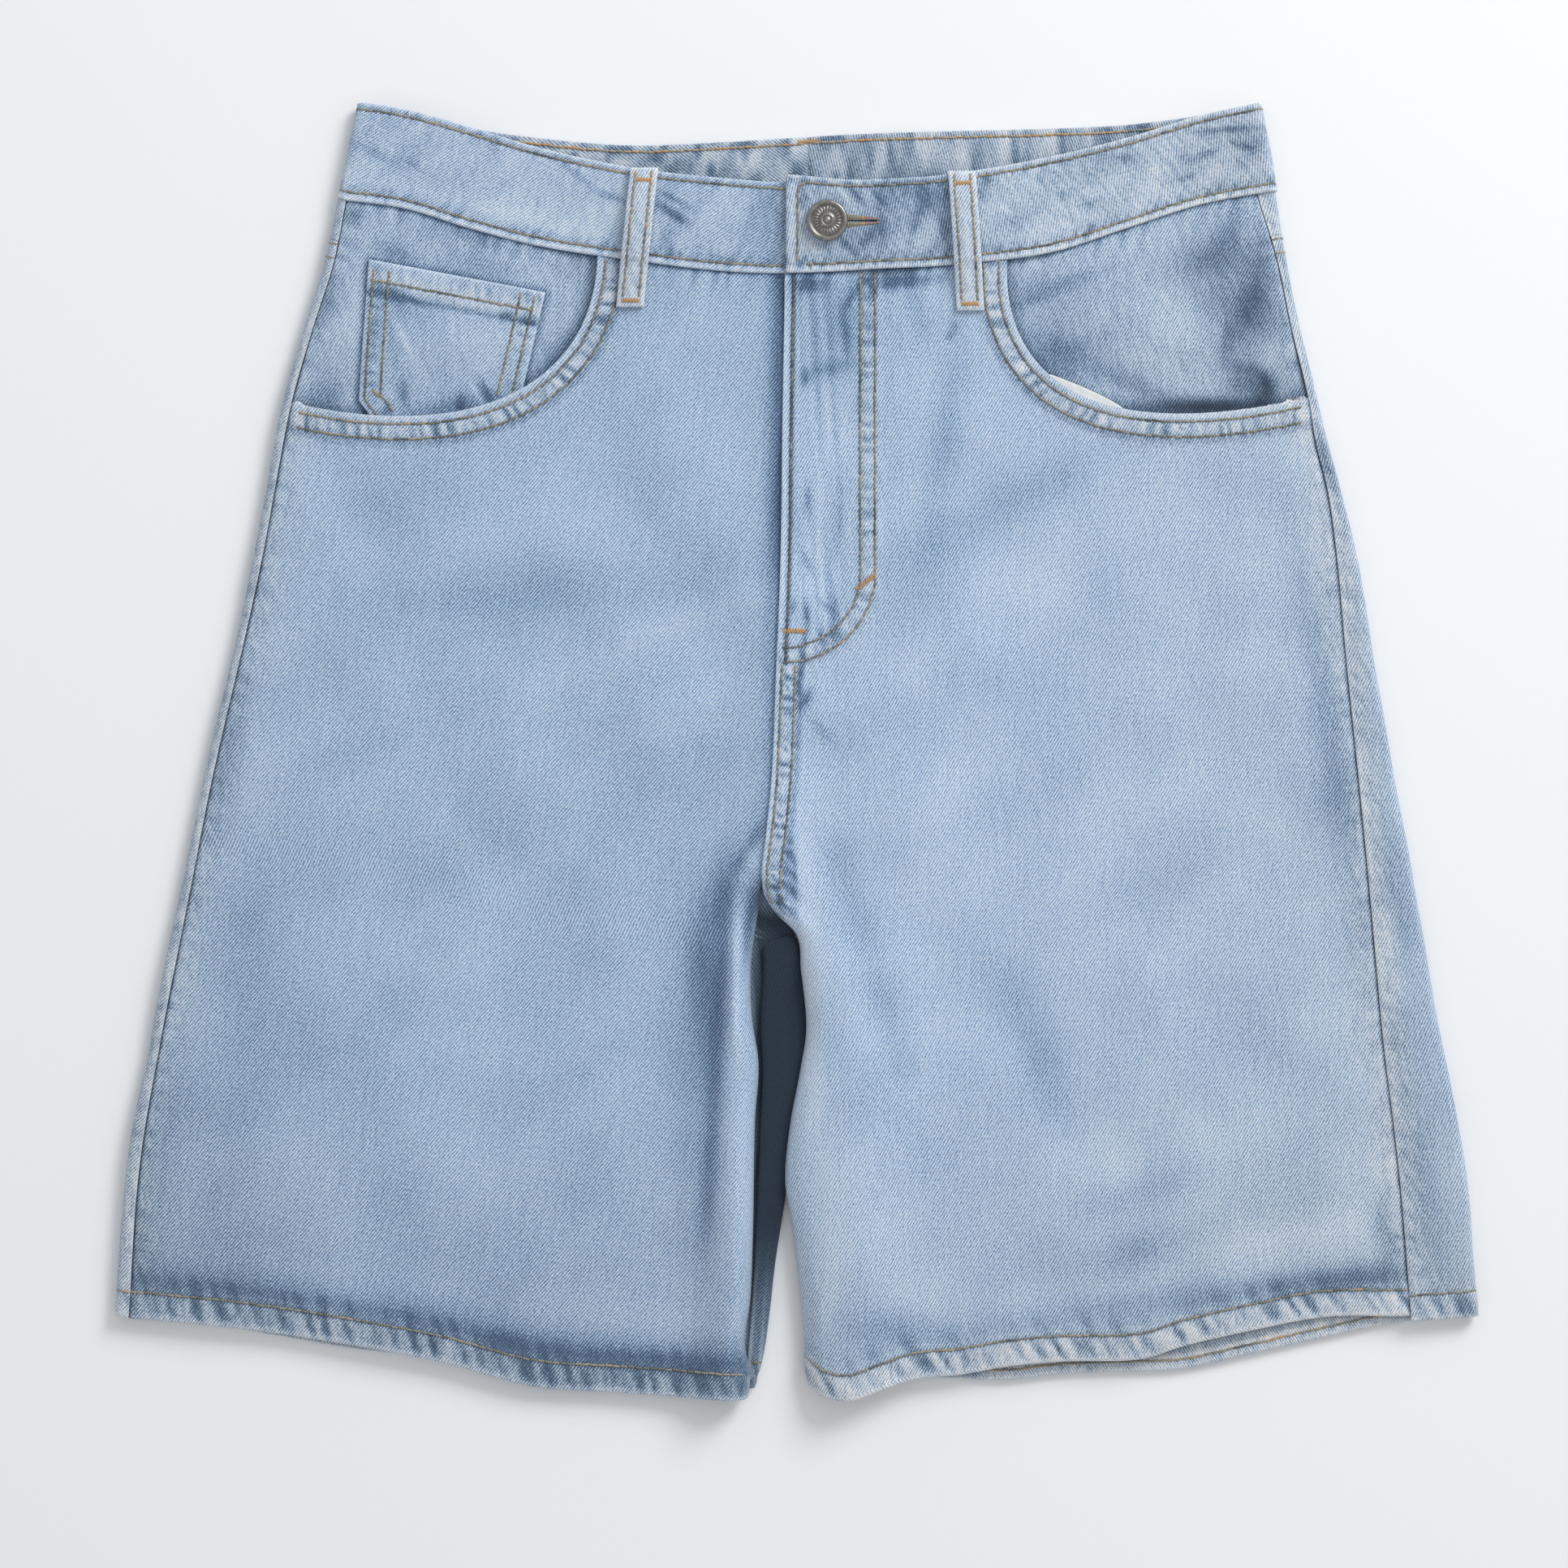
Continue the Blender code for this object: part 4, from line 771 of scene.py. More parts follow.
# ======== sewing ========
def between_rows(grid, row):
    """Points of a grid at a fractional row, one for all its columns or one for each."""
    row = np.clip(np.broadcast_to(row, grid.shape[1:2]), 0, len(grid) - 1)
    low = np.minimum(row.astype(int), len(grid) - 2)
    column = np.arange(grid.shape[1])
    return mix(grid[low, column], grid[low + 1, column], (row - low)[:, None])


def row_at(values, level):
    """The fractional row of each column at which its growing values reach a level."""
    rows = np.arange(len(values))
    return np.array([np.interp(level, column, rows) for column in values.T])


def drop_on(node, line):
    """Points under an (x, y) line on the top of a piece, and the piece's normals there."""
    tree = TREES.get(node)
    if tree is None:
        depsgraph = bpy.context.evaluated_depsgraph_get()
        tree = TREES[node] = BVHTree.FromObject(PIECES[node], depsgraph)
    hits = [tree.ray_cast(Vector((x * MM, y * MM, 1)), Vector((0, 0, -1))) for x, y in line]
    hits = [(place, up) for place, up, _, _ in hits if place is not None]
    return np.array([place for place, _ in hits]) / MM, np.array([up for _, up in hits])


class Sewing:
    """The stitches of one part of the garment, which become one mesh. Each is a thread that rises
    out of the cloth, runs over it and dips into it again."""

    def __init__(self, name):
        self.name = name
        self.stitches = []
        self.random = np.random.default_rng(sum(map(ord, name)))

    def add(self, starts, ends, ups, tones, radius):
        radii = np.full((len(starts), 1), radius)
        self.stitches.append(np.concatenate([starts, ends, ups, tones[:, None], radii], 1))

    def run(self, line, up, tone):
        """A row of stitches end to end along a line of points, each a little askew. Their tone
        drifts along the row and changes a little from one to the next."""
        walked, half = walk(line), STITCH_LENGTH / 2
        middles = np.arange(half, walked[-1] - half, STITCH_LENGTH)
        starts, ends = (read_at(middles + way * half, walked, line) for way in (-1, 1))
        ups = unit(read_at(middles, walked, up))
        aside = unit(np.cross(ends - starts, ups))
        skew = self.random.normal(0, STITCH_SKEW, (2, len(middles), 1))
        starts, ends = starts + aside * skew[0], ends + aside * skew[1]
        drift = 0.16 * ripple(middles, 61.0, len(self.stitches)) + 0.1 * ripple(middles, 17.0, tone)
        tones = tone + drift + self.random.normal(0, TONE_SPREAD, len(middles))
        self.add(starts, ends, ups, tones, THREAD_RADIUS)

    def run_on(self, node, line, tone):
        """A row of stitches on top of a piece, under an (x, y) line."""
        self.run(*drop_on(node, line), tone)

    def stitch_between(self, first, second, tone):
        """One stitch from each point of a line to its fellow on a second line."""
        count = min(len(first[0]), len(second[0]))
        tones = tone + self.random.normal(0, SATIN_SPREAD, count)
        self.add(first[0][:count], second[0][:count], first[1][:count], tones, TACK_RADIUS)

    def bartack(self, line, up, width, tone):
        """A bar along a line: close stitches across it, turned to and fro."""
        walked = walk(line)
        at = np.arange(0, walked[-1], TACK_PITCH)
        middle, ups = read_at(at, walked, line), read_at(at, walked, up)
        along = unit(np.gradient(middle, axis=0))
        across = np.cross(ups, along) * width / 2
        lean = along * TACK_LEAN * np.where(np.arange(len(at)) % 2, 1, -1)[:, None]
        tones = tone + self.random.normal(0, TACK_SPREAD, len(at))
        self.add(middle - across - lean, middle + across + lean, ups, tones, TACK_RADIUS)

    def finish(self):
        """Each stitch is a tube of rings round the line from its start to its end: a ring's radius
        and its height above the cloth come from STITCH_RINGS, as shares of the thread's radius."""
        stitches = np.concatenate(self.stitches)
        starts, ends, ups = (stitches[:, None, None, 3 * k : 3 * k + 3] for k in range(3))
        tones, radii = stitches[:, 9], stitches[:, None, None, 10:]
        rings = np.array(STITCH_RINGS)[None, :, None, :]
        angle = np.linspace(0, 2 * math.pi, THREAD_SIDES, endpoint=False)[None, None, :, None]
        along = ends - starts
        aside = unit(np.cross(along, ups))
        points = starts + along * rings[..., :1] + ups * radii * rings[..., 2:]
        swing = aside * np.cos(angle) + ups * np.sin(angle)
        points = points + radii * rings[..., 1:2] * swing
        count, levels = len(stitches), len(STITCH_RINGS)
        index = np.arange(levels * THREAD_SIDES).reshape(levels, THREAD_SIDES)
        next_side = np.roll(index, -1, axis=1)
        tube = np.stack([index[:-1], index[1:], next_side[1:], next_side[:-1]], -1).reshape(-1, 4)
        ends_shut = [index[0, [0, 1, 2, 3]], index[0, [0, 3, 4, 5]]]
        ends_shut += [index[-1, [3, 2, 1, 0]], index[-1, [5, 4, 3, 0]]]
        faces = np.concatenate([tube, ends_shut])
        faces = faces[None] + (np.arange(count) * levels * THREAD_SIDES)[:, None, None]
        made = new_mesh(self.name, points.reshape(-1, 3), faces.reshape(-1, 4), THREAD)
        length = np.linalg.norm(along, axis=-1)
        flat = stacked(length * rings[..., 0], angle[..., 0] / (2 * math.pi))
        set_flat(made.data, flat.reshape(-1, 2), faces.reshape(-1, 4))
        tone = made.data.attributes.new("tone", "FLOAT", "POINT")
        each = np.repeat(np.clip(tones, 0, 1.4), levels * THREAD_SIDES)
        tone.data.foreach_set("value", each.astype(np.float32))


# ======== fronts ========
def doubled(away, depth):
    """1 where cloth is turned under along an edge to this depth, and 0 beyond."""
    return 1 - ease((away - depth) / EDGE_STEP + 0.5)


FRONT_ROWS = spaced(FRONT_ROW_STEPS)


def front_shares():
    """How far down each row of a front is."""
    return (FRONT_ROWS[0] - FRONT_ROWS) / (FRONT_ROWS[0] - FRONT_ROWS[-1])


def side_seam_rows(side):
    """(x, y) on the side seam of each row of a front, from the pocket's corner to the hem."""
    share = front_shares()
    down = (share[MOUTH_ROWS:] - share[MOUTH_ROWS]) / (1 - share[MOUTH_ROWS])
    foot_x = seam_x(side, SIDES[side][-1].y)
    y = mix(MOUTHS[side].end_y, float(hem_line(side, "front", foot_x)), down)
    return stacked(seam_x(side, y), y)


def front_grid(side):
    """(x, y) of a front: from pocket mouth and side seam across to centre front and inside leg."""
    share = front_shares()
    inner = FRONT_INNERS[side]
    upper = along_line(pocket_mouth(side), share[:MOUTH_ROWS] / share[MOUTH_ROWS])
    outer_edge = np.concatenate([upper, side_seam_rows(side)])
    columns = spaced(FRONT_COLUMN_STEPS)
    across = 1 - columns / columns[0]
    top_x = mix(outer_edge[0, 0], follow(inner, "x", FRONT_ROWS[0]), across)
    top = stacked(top_x, waist_y(top_x) - SEAM_GAP)
    foot_x = mix(outer_edge[-1, 0], follow(inner, "x", FRONT_ROWS[-1]), across)
    foot = stacked(foot_x, hem_line(side, "front", foot_x))
    inner_y = mix(top[-1, 1], foot[-1, 1], share)
    inner_edge = stacked(follow(inner, "x", inner_y), inner_y)
    outer_edge[0], outer_edge[-1] = top[0], foot[0]
    inner_edge[0], inner_edge[-1] = top[-1], foot[-1]
    return patch(top, foot, outer_edge, inner_edge, across, share)


def fly_path(inset):
    """(x, y) down the fly's topstitching, or a row this far inside it: straight, then round to the
    centre seam as a quarter of an ellipse."""
    foot = FLY_FOOT + inset
    straight = stacked(FLY_WIDTH - inset, np.linspace(FLY_TOP, FLY_BEND, 20))
    centre = centre_front(foot) + 1.0
    turn = np.linspace(0, math.pi / 2, 60)[1:]
    x = centre + (FLY_WIDTH - inset - centre) * np.cos(turn)
    return np.concatenate([straight, stacked(x, FLY_BEND - (FLY_BEND - foot) * np.sin(turn))])


def fell_path(inset):
    """(x, y) down the felled centre seam below the fly, this far from its edge: then the outer row
    turns across the seam's foot and the inner one runs on to it."""
    y = np.linspace(FLY_FOOT - 1, -54, 50)
    line = stacked(centre_front(y) + inset, y)
    foot = FELL_TURN if inset < FELL_WIDTH / 2 else FELL_END
    return np.concatenate([line, foot])


BELOW_BAND = Pucker(0.30, 8.0, 0.25, 2.0, 7.0, 0.12, 0.35, 0.4)
MOUTH_PUCKER = Pucker(0.2, 5.3, 0.15, 6.6, 3.4, 0.5, 1.0, 1.9)
SIDE_PUCKER = Pucker(0.22, 8.5, 0.35, 2.5, 4.0, 0.1, 0.25, 2.6)
FLY_PUCKER = Pucker(0.22, 6.4, 0.3, 0.0, 3.2, 0.35, 0.5, 0.8)
FLY_WAVES = Pucker(0.06, 6.6, 0.0, 15.0, 13.0, 0.3, 0.35, 2.6)
FELL_PUCKER = Pucker(0.32, 5.2, 0.5, 0.0, 3.8, 0.4, 1.1, 3.3)
BESIDE_FELL = Pucker(0.25, 4.6, 0.9, 0.0, 2.4, 0.35, 0.8, 1.3)
HEM_PUCKERS = {
    -1: Pucker(0.42, 9.0, 0.25, 5.5, 4.5, 0.4, 1.2, 5.1),
    1: Pucker(0.42, 9.5, 0.6, 5.5, 4.5, 0.6, 0.95, 0.3),
}
ABOVE_HEM = {
    -1: Pucker(0.32, 9.0, 0.2, 14.0, 4.0, 0.1, 0.7, 1.1),
    1: Pucker(0.3, 14.0, 0.4, 14.0, 5.0, 0.15, 0.35, 2.1),
}

FRONT_CREASES = {  # rows of Crease
    -1: (
        # Right leg: the troughs' deeper blue and darker marks are painted shadow beside the inside leg's
        # roll and along the fold at its top, and the ridges' pale is a painted highlight on the roll's lit
        # top.
        (-29, -50, -39, -215, 3.6, -1.4, 0, 0.45, 0.08), (-24.5, -57, -25.5, -130, 2.6, 0.7, 0.4),
        (-13.5, -29, -27, -51, 2.4, -0.9, 0, 0.4, 0.05), (-24, -52, -16, -55, 1.3, 0.2, 0.35),
    ),
    1: (
        (12, -34, 31, -88, 7.0, -0.4, 0, 0.2), (31, -88, 47, -140, 8.0, -0.3, 0, 0.22),
        (-1, -38, -1, -74, 1.1, -0.3, 0, 0.4, 0.05), (44, 200, 52, 168, 3.5, -0.3, 0, 0.2),
        (66, 176, 61, 168, 1.6, -0.4, 0, 0.4, 0.05),
    ),
}
FELL_DITCH = ((3.4, 49), (2.4, 36), (0.2, 24))

FRONT_TONES = {  # rows of Tone
    -1: (
        # Right leg: the deeper blue and darker patches beside and under the inside leg's roll, between x =
        # -50 and -15 below y = -40, are painted shadow, and the pale ones on the roll are painted
        # highlights.
        (-130, 63, 62, 9, 3, 0, 0.18), (-44, 53, 32, 5, 18, 0.28), (-60, 8, 36, 6, 8, 0.16),
        (-38, -100, 40, 7, 93, 0, 0.45, 0.05), (-45, -150, 50, 8, 93, 0, 0.15),
        (-31, -60, 20, 6, 78, 0, 0.5, 0.05), (-234, -5, 30, 6, 79, 0, 0.3),
        (-19.5, -70, 14, 2.5, 85, 0, 0.7, 0.25), (-24, -165, 85, 5.5, 92, 0.15),
        (-262, -165, 50, 10, 80, 0, 0.25), (-170, -215, 110, 28, 0, 0, 0.18),
        (-120, -243, 9, 4, -10, 0, 0.5), (-60, -252, 30, 3.5, -5, 0, 0.55, 0.03),
        (-14, -248, 14, 2.2, 88, 0.55), (-225, -120, 90, 26, 80, 0, 0.15),
        (-18.5, -44, 8, 3.4, -58, 0.4), (-16, -62, 8, 2.4, 88, 0, 0.3, 0.6),
    ),
    1: (
        # Left leg: the pale band at x = 4 down the inside leg lightens the roll's shaded side, painted
        # light; the deeper blue patches just under the waistband, near y = 191, are the cloth's own deeper
        # blue and painted shadow under the band's edge.
        (99, -122, 34, 10, -62, 0, 0.38), (4, -108, 44, 6, -86, 0.8), (40, -238, 26, 9, -5, 0, 0.3),
        (122, -154, 36, 9, -60, 0.35), (242, -198, 14, 6, 98, 0, 0.5), (145, -180, 30, 7, 18, 0, 0.22),
        (140, -206, 18, 9, 14, 0, 0.35), (195, -201, 50, 8, 10, 0.35), (165, -224, 88, 6, 7, 0, 0.36),
        (14, -215, 28, 6, 88, 0.35), (82, 98, 48, 9, 28, 0, 0.2), (97, 68, 62, 15, 33, 0.15),
        (214, 74, 36, 5, 97, 0.3), (220, 0, 64, 7, 98, 0, 0.42), (17, 176, 20, 15, 90, 0, 0.35),
        (61, 130, 42, 7, 82, 0, 0.3), (228, -217, 26, 6, 8, 0, 0.5), (60, -60, 60, 40, 60, 0.1),
        (4, -50, 26, 3.5, -80, 0.25), (-3, -43, 3.5, 1.2, -58, 0, 0.9, 0.1),
        (-3.5, -46.5, 3.5, 1, -58, 0.5), (-2.5, -50, 3.5, 1.2, -55, 0, 0.8, 0.08),
        (-2, -57.5, 3.2, 1.4, -50, 0, 1, 0.15), (-5, -61, 3, 1, -50, 0.5),
        (-3.5, -65, 3, 1.2, -45, 0, 0.8, 0.1), (-5, -70, 6, 1.8, -50, 0.8),
        (5, 191, 6, 2.98, 0, 0, 0.9, 0.08), (44, 192.5, 15, 2.55, 4, 0, 0.75, 0.04),
        (3.5, 153, 3.5, 2.12, 90, 0, 0.68), (14, 157, 9, 3.4, 10, 0, 0.45),
        (23, 187, 8, 1.53, 58, 0, 0.68), (20, 171, 9, 1.53, -84, 0, 0.6),
        (31, 191, 5, 1.87, 90, 0, 0.98, 0.1), (39.5, 192, 4, 2.55, 60, 0, 0.6),
        (4.5, 103, 6, 1.53, 88, 0, 0.52), (4.5, 77, 5, 1.53, -70, 0, 0.45),
        (17, 92, 12, 1.7, 88, 0, 0.38), (9.5, 100, 22, 2.5, 88, 0.3), (-1.5, 59, 3, 1.36, 80, 0, 0.6),
        (4, 56, 5, 1.44, 95, 0, 0.9, 0.05), (10.5, 45, 5, 1.19, 100, 0, 0.83, 0.05),
        (16, 56, 7, 1.53, 95, 0, 0.75, 0.05), (12, 59, 3, 1.02, -50, 0, 0.52),
        (15.5, 47, 3, 2.12, 0, 0, 0.75), (3.5, 21, 4, 2.12, 60, 0, 0.9, 0.05),
        (9.5, 9, 8, 2, -50, 0, 0.35),
    ),
}


def unevenness(x, y, seed):
    """Soft lumps of cloth that has lain folded: four crossed waves, a few centimetres long."""
    return 0.16 * (
        np.sin(x / 9.1 + y / 21 + seed)
        + np.sin(y / 8.3 - x / 17 + 2 * seed)
        + 1.2 * np.sin((x + y) / 14.7 + 3 * seed)
        + 1.2 * np.sin((x - 0.6 * y) / 19.3 + 5 * seed)
    )


def front_marks(side, x, y):
    marks = Marks(x, 0.05)
    marks.height += unevenness(x, y, 1.3 if side < 0 else 4.2)
    hem = y - hem_line(side, "front", x)
    marks.pucker(hem, x, HEM_PUCKERS[side])
    marks.pucker(hem, x, ABOVE_HEM[side])
    marks.along(hem, 1.3, pale=0.6)
    marks.along(hem - HEM_STITCH, 1.0, height=-0.25, deep=0.35)
    # Deeper blue bands above the hem: painted shade where the rolled hem slopes away from the light,
    # strong on the right leg and faint on the left.
    inner = ease((x + 150) / 60) * ease(-x / 10)
    levels = ((0.42, 0.55), (0.16, 0.25), (0.15, 0.5)) if side < 0 else ((0.15, 0.15), (0, 0), (0, 0))
    above, higher, within = (mix(*level, inner) for level in levels)
    marks.along(hem - HEM_STITCH - 4.4, 4.4, deep=above)
    marks.along(hem - HEM_STITCH - 10, 6.0, deep=higher)
    marks.along(hem - HEM_STITCH / 2, 6.0, streaks=0.45, deep=within, pale=0 if side < 0 else 0.08)
    waist = waist_y(x) - y
    marks.pucker(waist, x, BELOW_BAND)
    # the seam's groove under the waistband, with a painted shadow line along it
    marks.along(waist, 1.6, height=-0.5, deep=0.6, shade=0.12)
    away, run = near(x, y, pocket_mouth(side))
    marks.pucker(away, run, MOUTH_PUCKER)
    marks.along(away, 2.0, pale=0.45)
    marks.along(away - 6.4, 5.5, pale=0.12, streaks=0.35)
    for row in MOUTH_STITCHES:
        marks.along(away - row, 0.9, height=-0.16, deep=0.3)
    marks.along(away - MOUTH_STITCHES[1] - 1.8, 1.4, deep=0.3)
    seam = side * (seam_x(side, y) - x)
    below_pocket = ease((MOUTHS[side].end_y - y) / 6)
    marks.pucker(seam, y, SIDE_PUCKER, below_pocket)
    marks.along(seam, 1.2, height=-0.5)
    # painted shade in the side seam's gap
    marks.along(seam, 0.7, deep=0.7, shade=0.4)
    marks.along(seam, 9.0, streaks=0.25)
    centre = centre_front(y)
    if side > 0:
        marks.pale += 0.16
        fly_marks(marks, x, y)
    else:
        # painted shadow that the left front's raised fly edge casts on the right front beside it
        fly_shadow = mix(0.3, 1.0, ease((y - 40) / 60)) * ease((y + 45) / 20)
        marks.along(centre - x, 5.5, deep=0.95 * fly_shadow, shade=0.1 * fly_shadow)
    marks.creases(x, y, FRONT_CREASES[side])
    marks.tones(x, y, FRONT_TONES[side])
    return marks


def fly_marks(marks, x, y):
    """Puckers and worn tones round the left front's fly and down the felled centre seam, with painted
    shade in the ditch along the fly's edge and along the fold below its bar.
    """
    away, run = near(x, y, fly_path(FLY_ROWS / 2))
    marks.pucker(away, run, FLY_PUCKER)
    marks.along(away, 4.5, streaks=0.25, pale=0.05)
    for inset in (0, FLY_ROWS):
        away, run = near(x, y, fly_path(inset))
        marks.along(away, 0.9, height=-0.2, deep=0.22)
    centre = centre_front(y)
    on_fly = ease((y - FLY_FOOT) / 8)
    marks.along(np.abs(x - centre), 2.6, pale=0.45)
    # deeper blue and painted shade in the ditch beside the row along the fly's edge
    beside_edge = np.where(on_fly > 0, x - centre - FLY_EDGE_STITCH, FAR)
    marks.along(beside_edge, 0.9, height=-0.3, deep=0.9, shade=0.2)
    coming = 0.5 + 0.5 * ripple(y + 2 * x, 74.0, 0.4)
    marks.pucker(x - centre, x + 0.06 * y, FLY_WAVES, on_fly * coming)
    # deeper blue and painted shade along the fold below the fly's bar
    ditch, _ = near(x, y, FELL_DITCH)
    marks.along(ditch, 1.0, height=-0.2, deep=0.6, shade=0.12)
    away, run = near(x, y, fell_path(sum(FELL_ROWS) / 2))
    below = ease((FLY_FOOT + 4 - y) / 8)
    marks.pucker(away, run, FELL_PUCKER, below)
    marks.along(np.where(below > 0, away, FAR), 4.5, streaks=0.18)
    for inset in FELL_ROWS:
        away, run = near(x, y, fell_path(inset))
        marks.along(np.where(below > 0, away, FAR), 0.8, height=-0.2, deep=0.2)
    away, run = near(x, y, fell_path(FELL_ROWS[1] + 2.2))
    marks.along(np.where(below > 0, away, FAR), 1.4, deep=0.45, height=-0.2)
    marks.pucker(away, run, BESIDE_FELL, ease((-30 - y) / 8))


def front(side, word):
    """A front's wall: its outer face is the laid height with its folds, the fly's step and its
    marks, and it rolls over to the inseam as a quarter of an ellipse inside the leg."""
    grid = front_grid(side)
    x, y = grid[..., 0], grid[..., 1]
    marks = front_marks(side, x, y)
    height = front_height(side, x, y) + marks.height
    if side > 0:
        height = height + fly_rise(x, y)
    turn = np.clip(side * (x - follow(FRONT_INNERS[side], "x", y)) / INSEAM_ROLL, 0, 1)
    roll = np.clip(follow(FRONT_INNERS[side], "roll", y), 0, 1)
    rolled = INSEAM_HEIGHT + (height - INSEAM_HEIGHT) * np.sqrt(1 - (1 - turn) ** 2)
    plain = stacked(x, y, mix(height, rolled, roll))
    normal = facing_up(plain)
    hem = doubled(y - hem_line(side, "front", x), HEM_DEPTH)
    mouth_edge = doubled(near(x, y, pocket_mouth(side))[0], MOUTH_EDGE_WIDTH)
    outer = plain + normal * (HEM_ROPE * hem + MOUTH_EDGE_RISE * mouth_edge)[..., None]
    turning = HEM_TURNING * hem * np.where(turn < 1, 1 - roll, 1)
    inner = plain - normal * (DENIM + turning)[..., None]
    even = plain - (0, 0, 1) * marks.height[..., None]
    extra = walk(even) - walk(even * (1, 1, 0))
    flat = turn_flat(x + side * (extra[:, -1:] - extra), y, RIGHT_TURN if side < 0 else 0)
    wear_and_shading = marks.wear_and_shading()
    inside = wear_and_shading * (0.5, 1, 1, 1) + (0.15, 0, 0, 0)
    bulge = RIM_BULGE + 0.25 * (turning + HEM_ROPE * hem)
    cloth(f"front_{word}_cloth", outer, inner, flat, wear_and_shading, inside, bulge)


def front_sewing(side, word):
    """Rows beside the pocket mouth and along the hem."""
    sewing = Sewing(f"front_{word}_stitching")
    mouth = pocket_mouth(side, FACING_MOUTH)
    for inset in MOUTH_STITCHES:
        sewing.run_on(f"front_{word}", beside(mouth, side * inset)[1:-1], TAN)
    x = np.linspace(*HEM_ROW_ENDS[side], 260)
    sewing.run_on(f"front_{word}", stacked(x, hem_line(side, "front", x) + HEM_STITCH), TAN)
    sewing.finish()


def fly_sewing():
    """Two rows round the fly, two down the felled centre seam, and the bars between them."""
    sewing = Sewing("fly_stitching")
    for line in (*map(fly_path, (0, FLY_ROWS)), *map(fell_path, FELL_ROWS)):
        sewing.run_on("front_left", line, TAN)
    y = np.linspace(FLY_EDGE_TOP, FLY_FOOT, 60)
    sewing.run_on("front_left", stacked(centre_front(y) + FLY_EDGE_STITCH, y), NAVY)
    for start, end in FLY_BARTACKS:
        line = np.linspace(start, end, 12)
        sewing.bartack(*drop_on("front_left", line), FLY_BAR_WIDTH, ORANGE)
    sewing.finish()


def coin_pocket_sewing():
    """A row along the coin pocket's hem and two down each side."""
    sewing = Sewing("coin_pocket_stitching")
    top = np.linspace(*COIN_POCKET_TOP, 40)
    sewing.run_on("coin_pocket", beside(top, COIN_POCKET_HEM_STITCH)[1:-1], TAN)
    for end, way, insets in zip(COIN_POCKET_ENDS, (-1, 1), COIN_POCKET_SIDES):
        line = along_line(end, np.linspace(0, 1, 40))
        for inset in insets:
            sewing.run_on("coin_pocket", beside(line, way * inset)[2:-1], TAN)
    knot = np.linspace(*COIN_POCKET_KNOT, 6)
    sewing.bartack(*drop_on("coin_pocket", knot), COIN_POCKET_KNOT_WIDTH, BRASS)
    sewing.finish()


# ======== facings, coin pocket and lining ========
FACING_TONES = {  # rows of Tone
    -1: (
        # Right: the darker patches at the coin pocket's foot and along the pocket mouth are painted
        # shadow.
        (-150, 172, 30, 9, 60, 0, 0.25), (-112, 205, 26, 12, 80, 0.1),
        (-182, 220, 5, 4, 0, 0, 0.5, 0.1), (-164, 204, 8, 3.5, -20, 0, 0.45, 0.04),
        (-135, 212, 17, 3, -17, 0, 0.3), (-122, 197, 12, 4, -20, 0, 0.25),
        (-194, 147, 8, 7, 80, 0, 0.4, 0.1), (-99, 160, 14, 5, 60, 0, 0.3, 0.05),
        (-195, 184, 14, 6, 75, 0, 0.4, 0.1), (-140, 141, 30, 4, 10, 0, 0.5, 0.15),
    ),
    1: (
        # Left: the darker patches along the pocket mouth and round the pleat are painted shadow under the
        # front and beside the pleat, and the pale one on the pleat's top, at (196, 164), a painted
        # highlight.
        (107, 191, 18, 3, 18, 0, 0.3), (96, 184.5, 9, 2, 18, 0, 0.3), (97, 200, 12, 5, 15, 0.3),
        (108, 163, 10, 7, -40, 0, 0.45, 0.04), (128, 157, 14, 5, -25, 0, 0.15),
        (142, 149, 15, 3, -20, 0, 0.25, 0.1), (140, 162, 12, 7, -20, 0.25),
        (171, 202, 19, 9, 12, 0, 0.45, 0.14), (184, 182, 22, 11, -20, 0, 0.4, 0.12),
        (185, 151, 9, 5, 0, 0, 0.4, 0.25), (168, 142, 24, 3.4, 1, 0, 0.6, 0.75),
        (192, 146, 6, 4, 60, 0, 0.4, 0.4), (188, 188, 18, 5.5, 78, 0, 0.55, 0.12),
        (177, 213, 10, 5, 60, 0, 0.35), (177, 168, 9, 3, 80, 0, 0.45, 0.08),
        (183, 157.5, 7, 2.6, -10, 0, 0.45, 0.1), (192.5, 152, 6, 2.6, -62, 0, 0.6, 0.3),
        (196, 164, 9, 5, 65, 0.3), (155, 182, 24, 10, 75, 0.25), (120, 178, 14, 7, 20, 0.2),
    ),
}
PLEAT = (188, 164, 8, 12, 1.5)  # on the left facing: its middle, half sizes and height
COIN_POCKET_TONES = (
    (-128, 168, 20, 11, -8, 0.2), (-162, 182, 14, 9, -8, 0, 0.3),
    # the darker marks along its foot, near y = 142, are painted shadow
    (-140, 141, 28, 4.5, 10, 0, 0.5, 0.12), (-172, 189, 6, 3, 0, 0, 0.6, 0.04),
    (-165.5, 187, 4, 3, -20, 0, 0.7, 0.08), (-157, 184.5, 5, 1.2, -25, 0, 0.5, 0.05),
    (-119, 178.7, 3, 1.6, 0, 0, 0.7, 0.04), (-110, 177, 4, 2, -10, 0, 0.6, 0.05),
    (-173.5, 172, 5, 2, 90, 0, 0.35), (-161.5, 146, 6, 2.2, 95, 0, 0.6, 0.06),
    (-138, 142, 5, 2.2, 90, 0, 0.6, 0.12), (-127.5, 147, 6, 2, -60, 0, 0.7, 0.1),
    (-130.3, 144.5, 5, 0.9, -62, 0.8), (-168, 140, 3, 2, 60, 0, 0.6, 0.1),
    (-159, 165, 20, 1.6, -62, 0.35), (-166, 168, 12, 2.4, -80, 0, 0.3), (-128, 160, 14, 7, 60, 0.15),
)
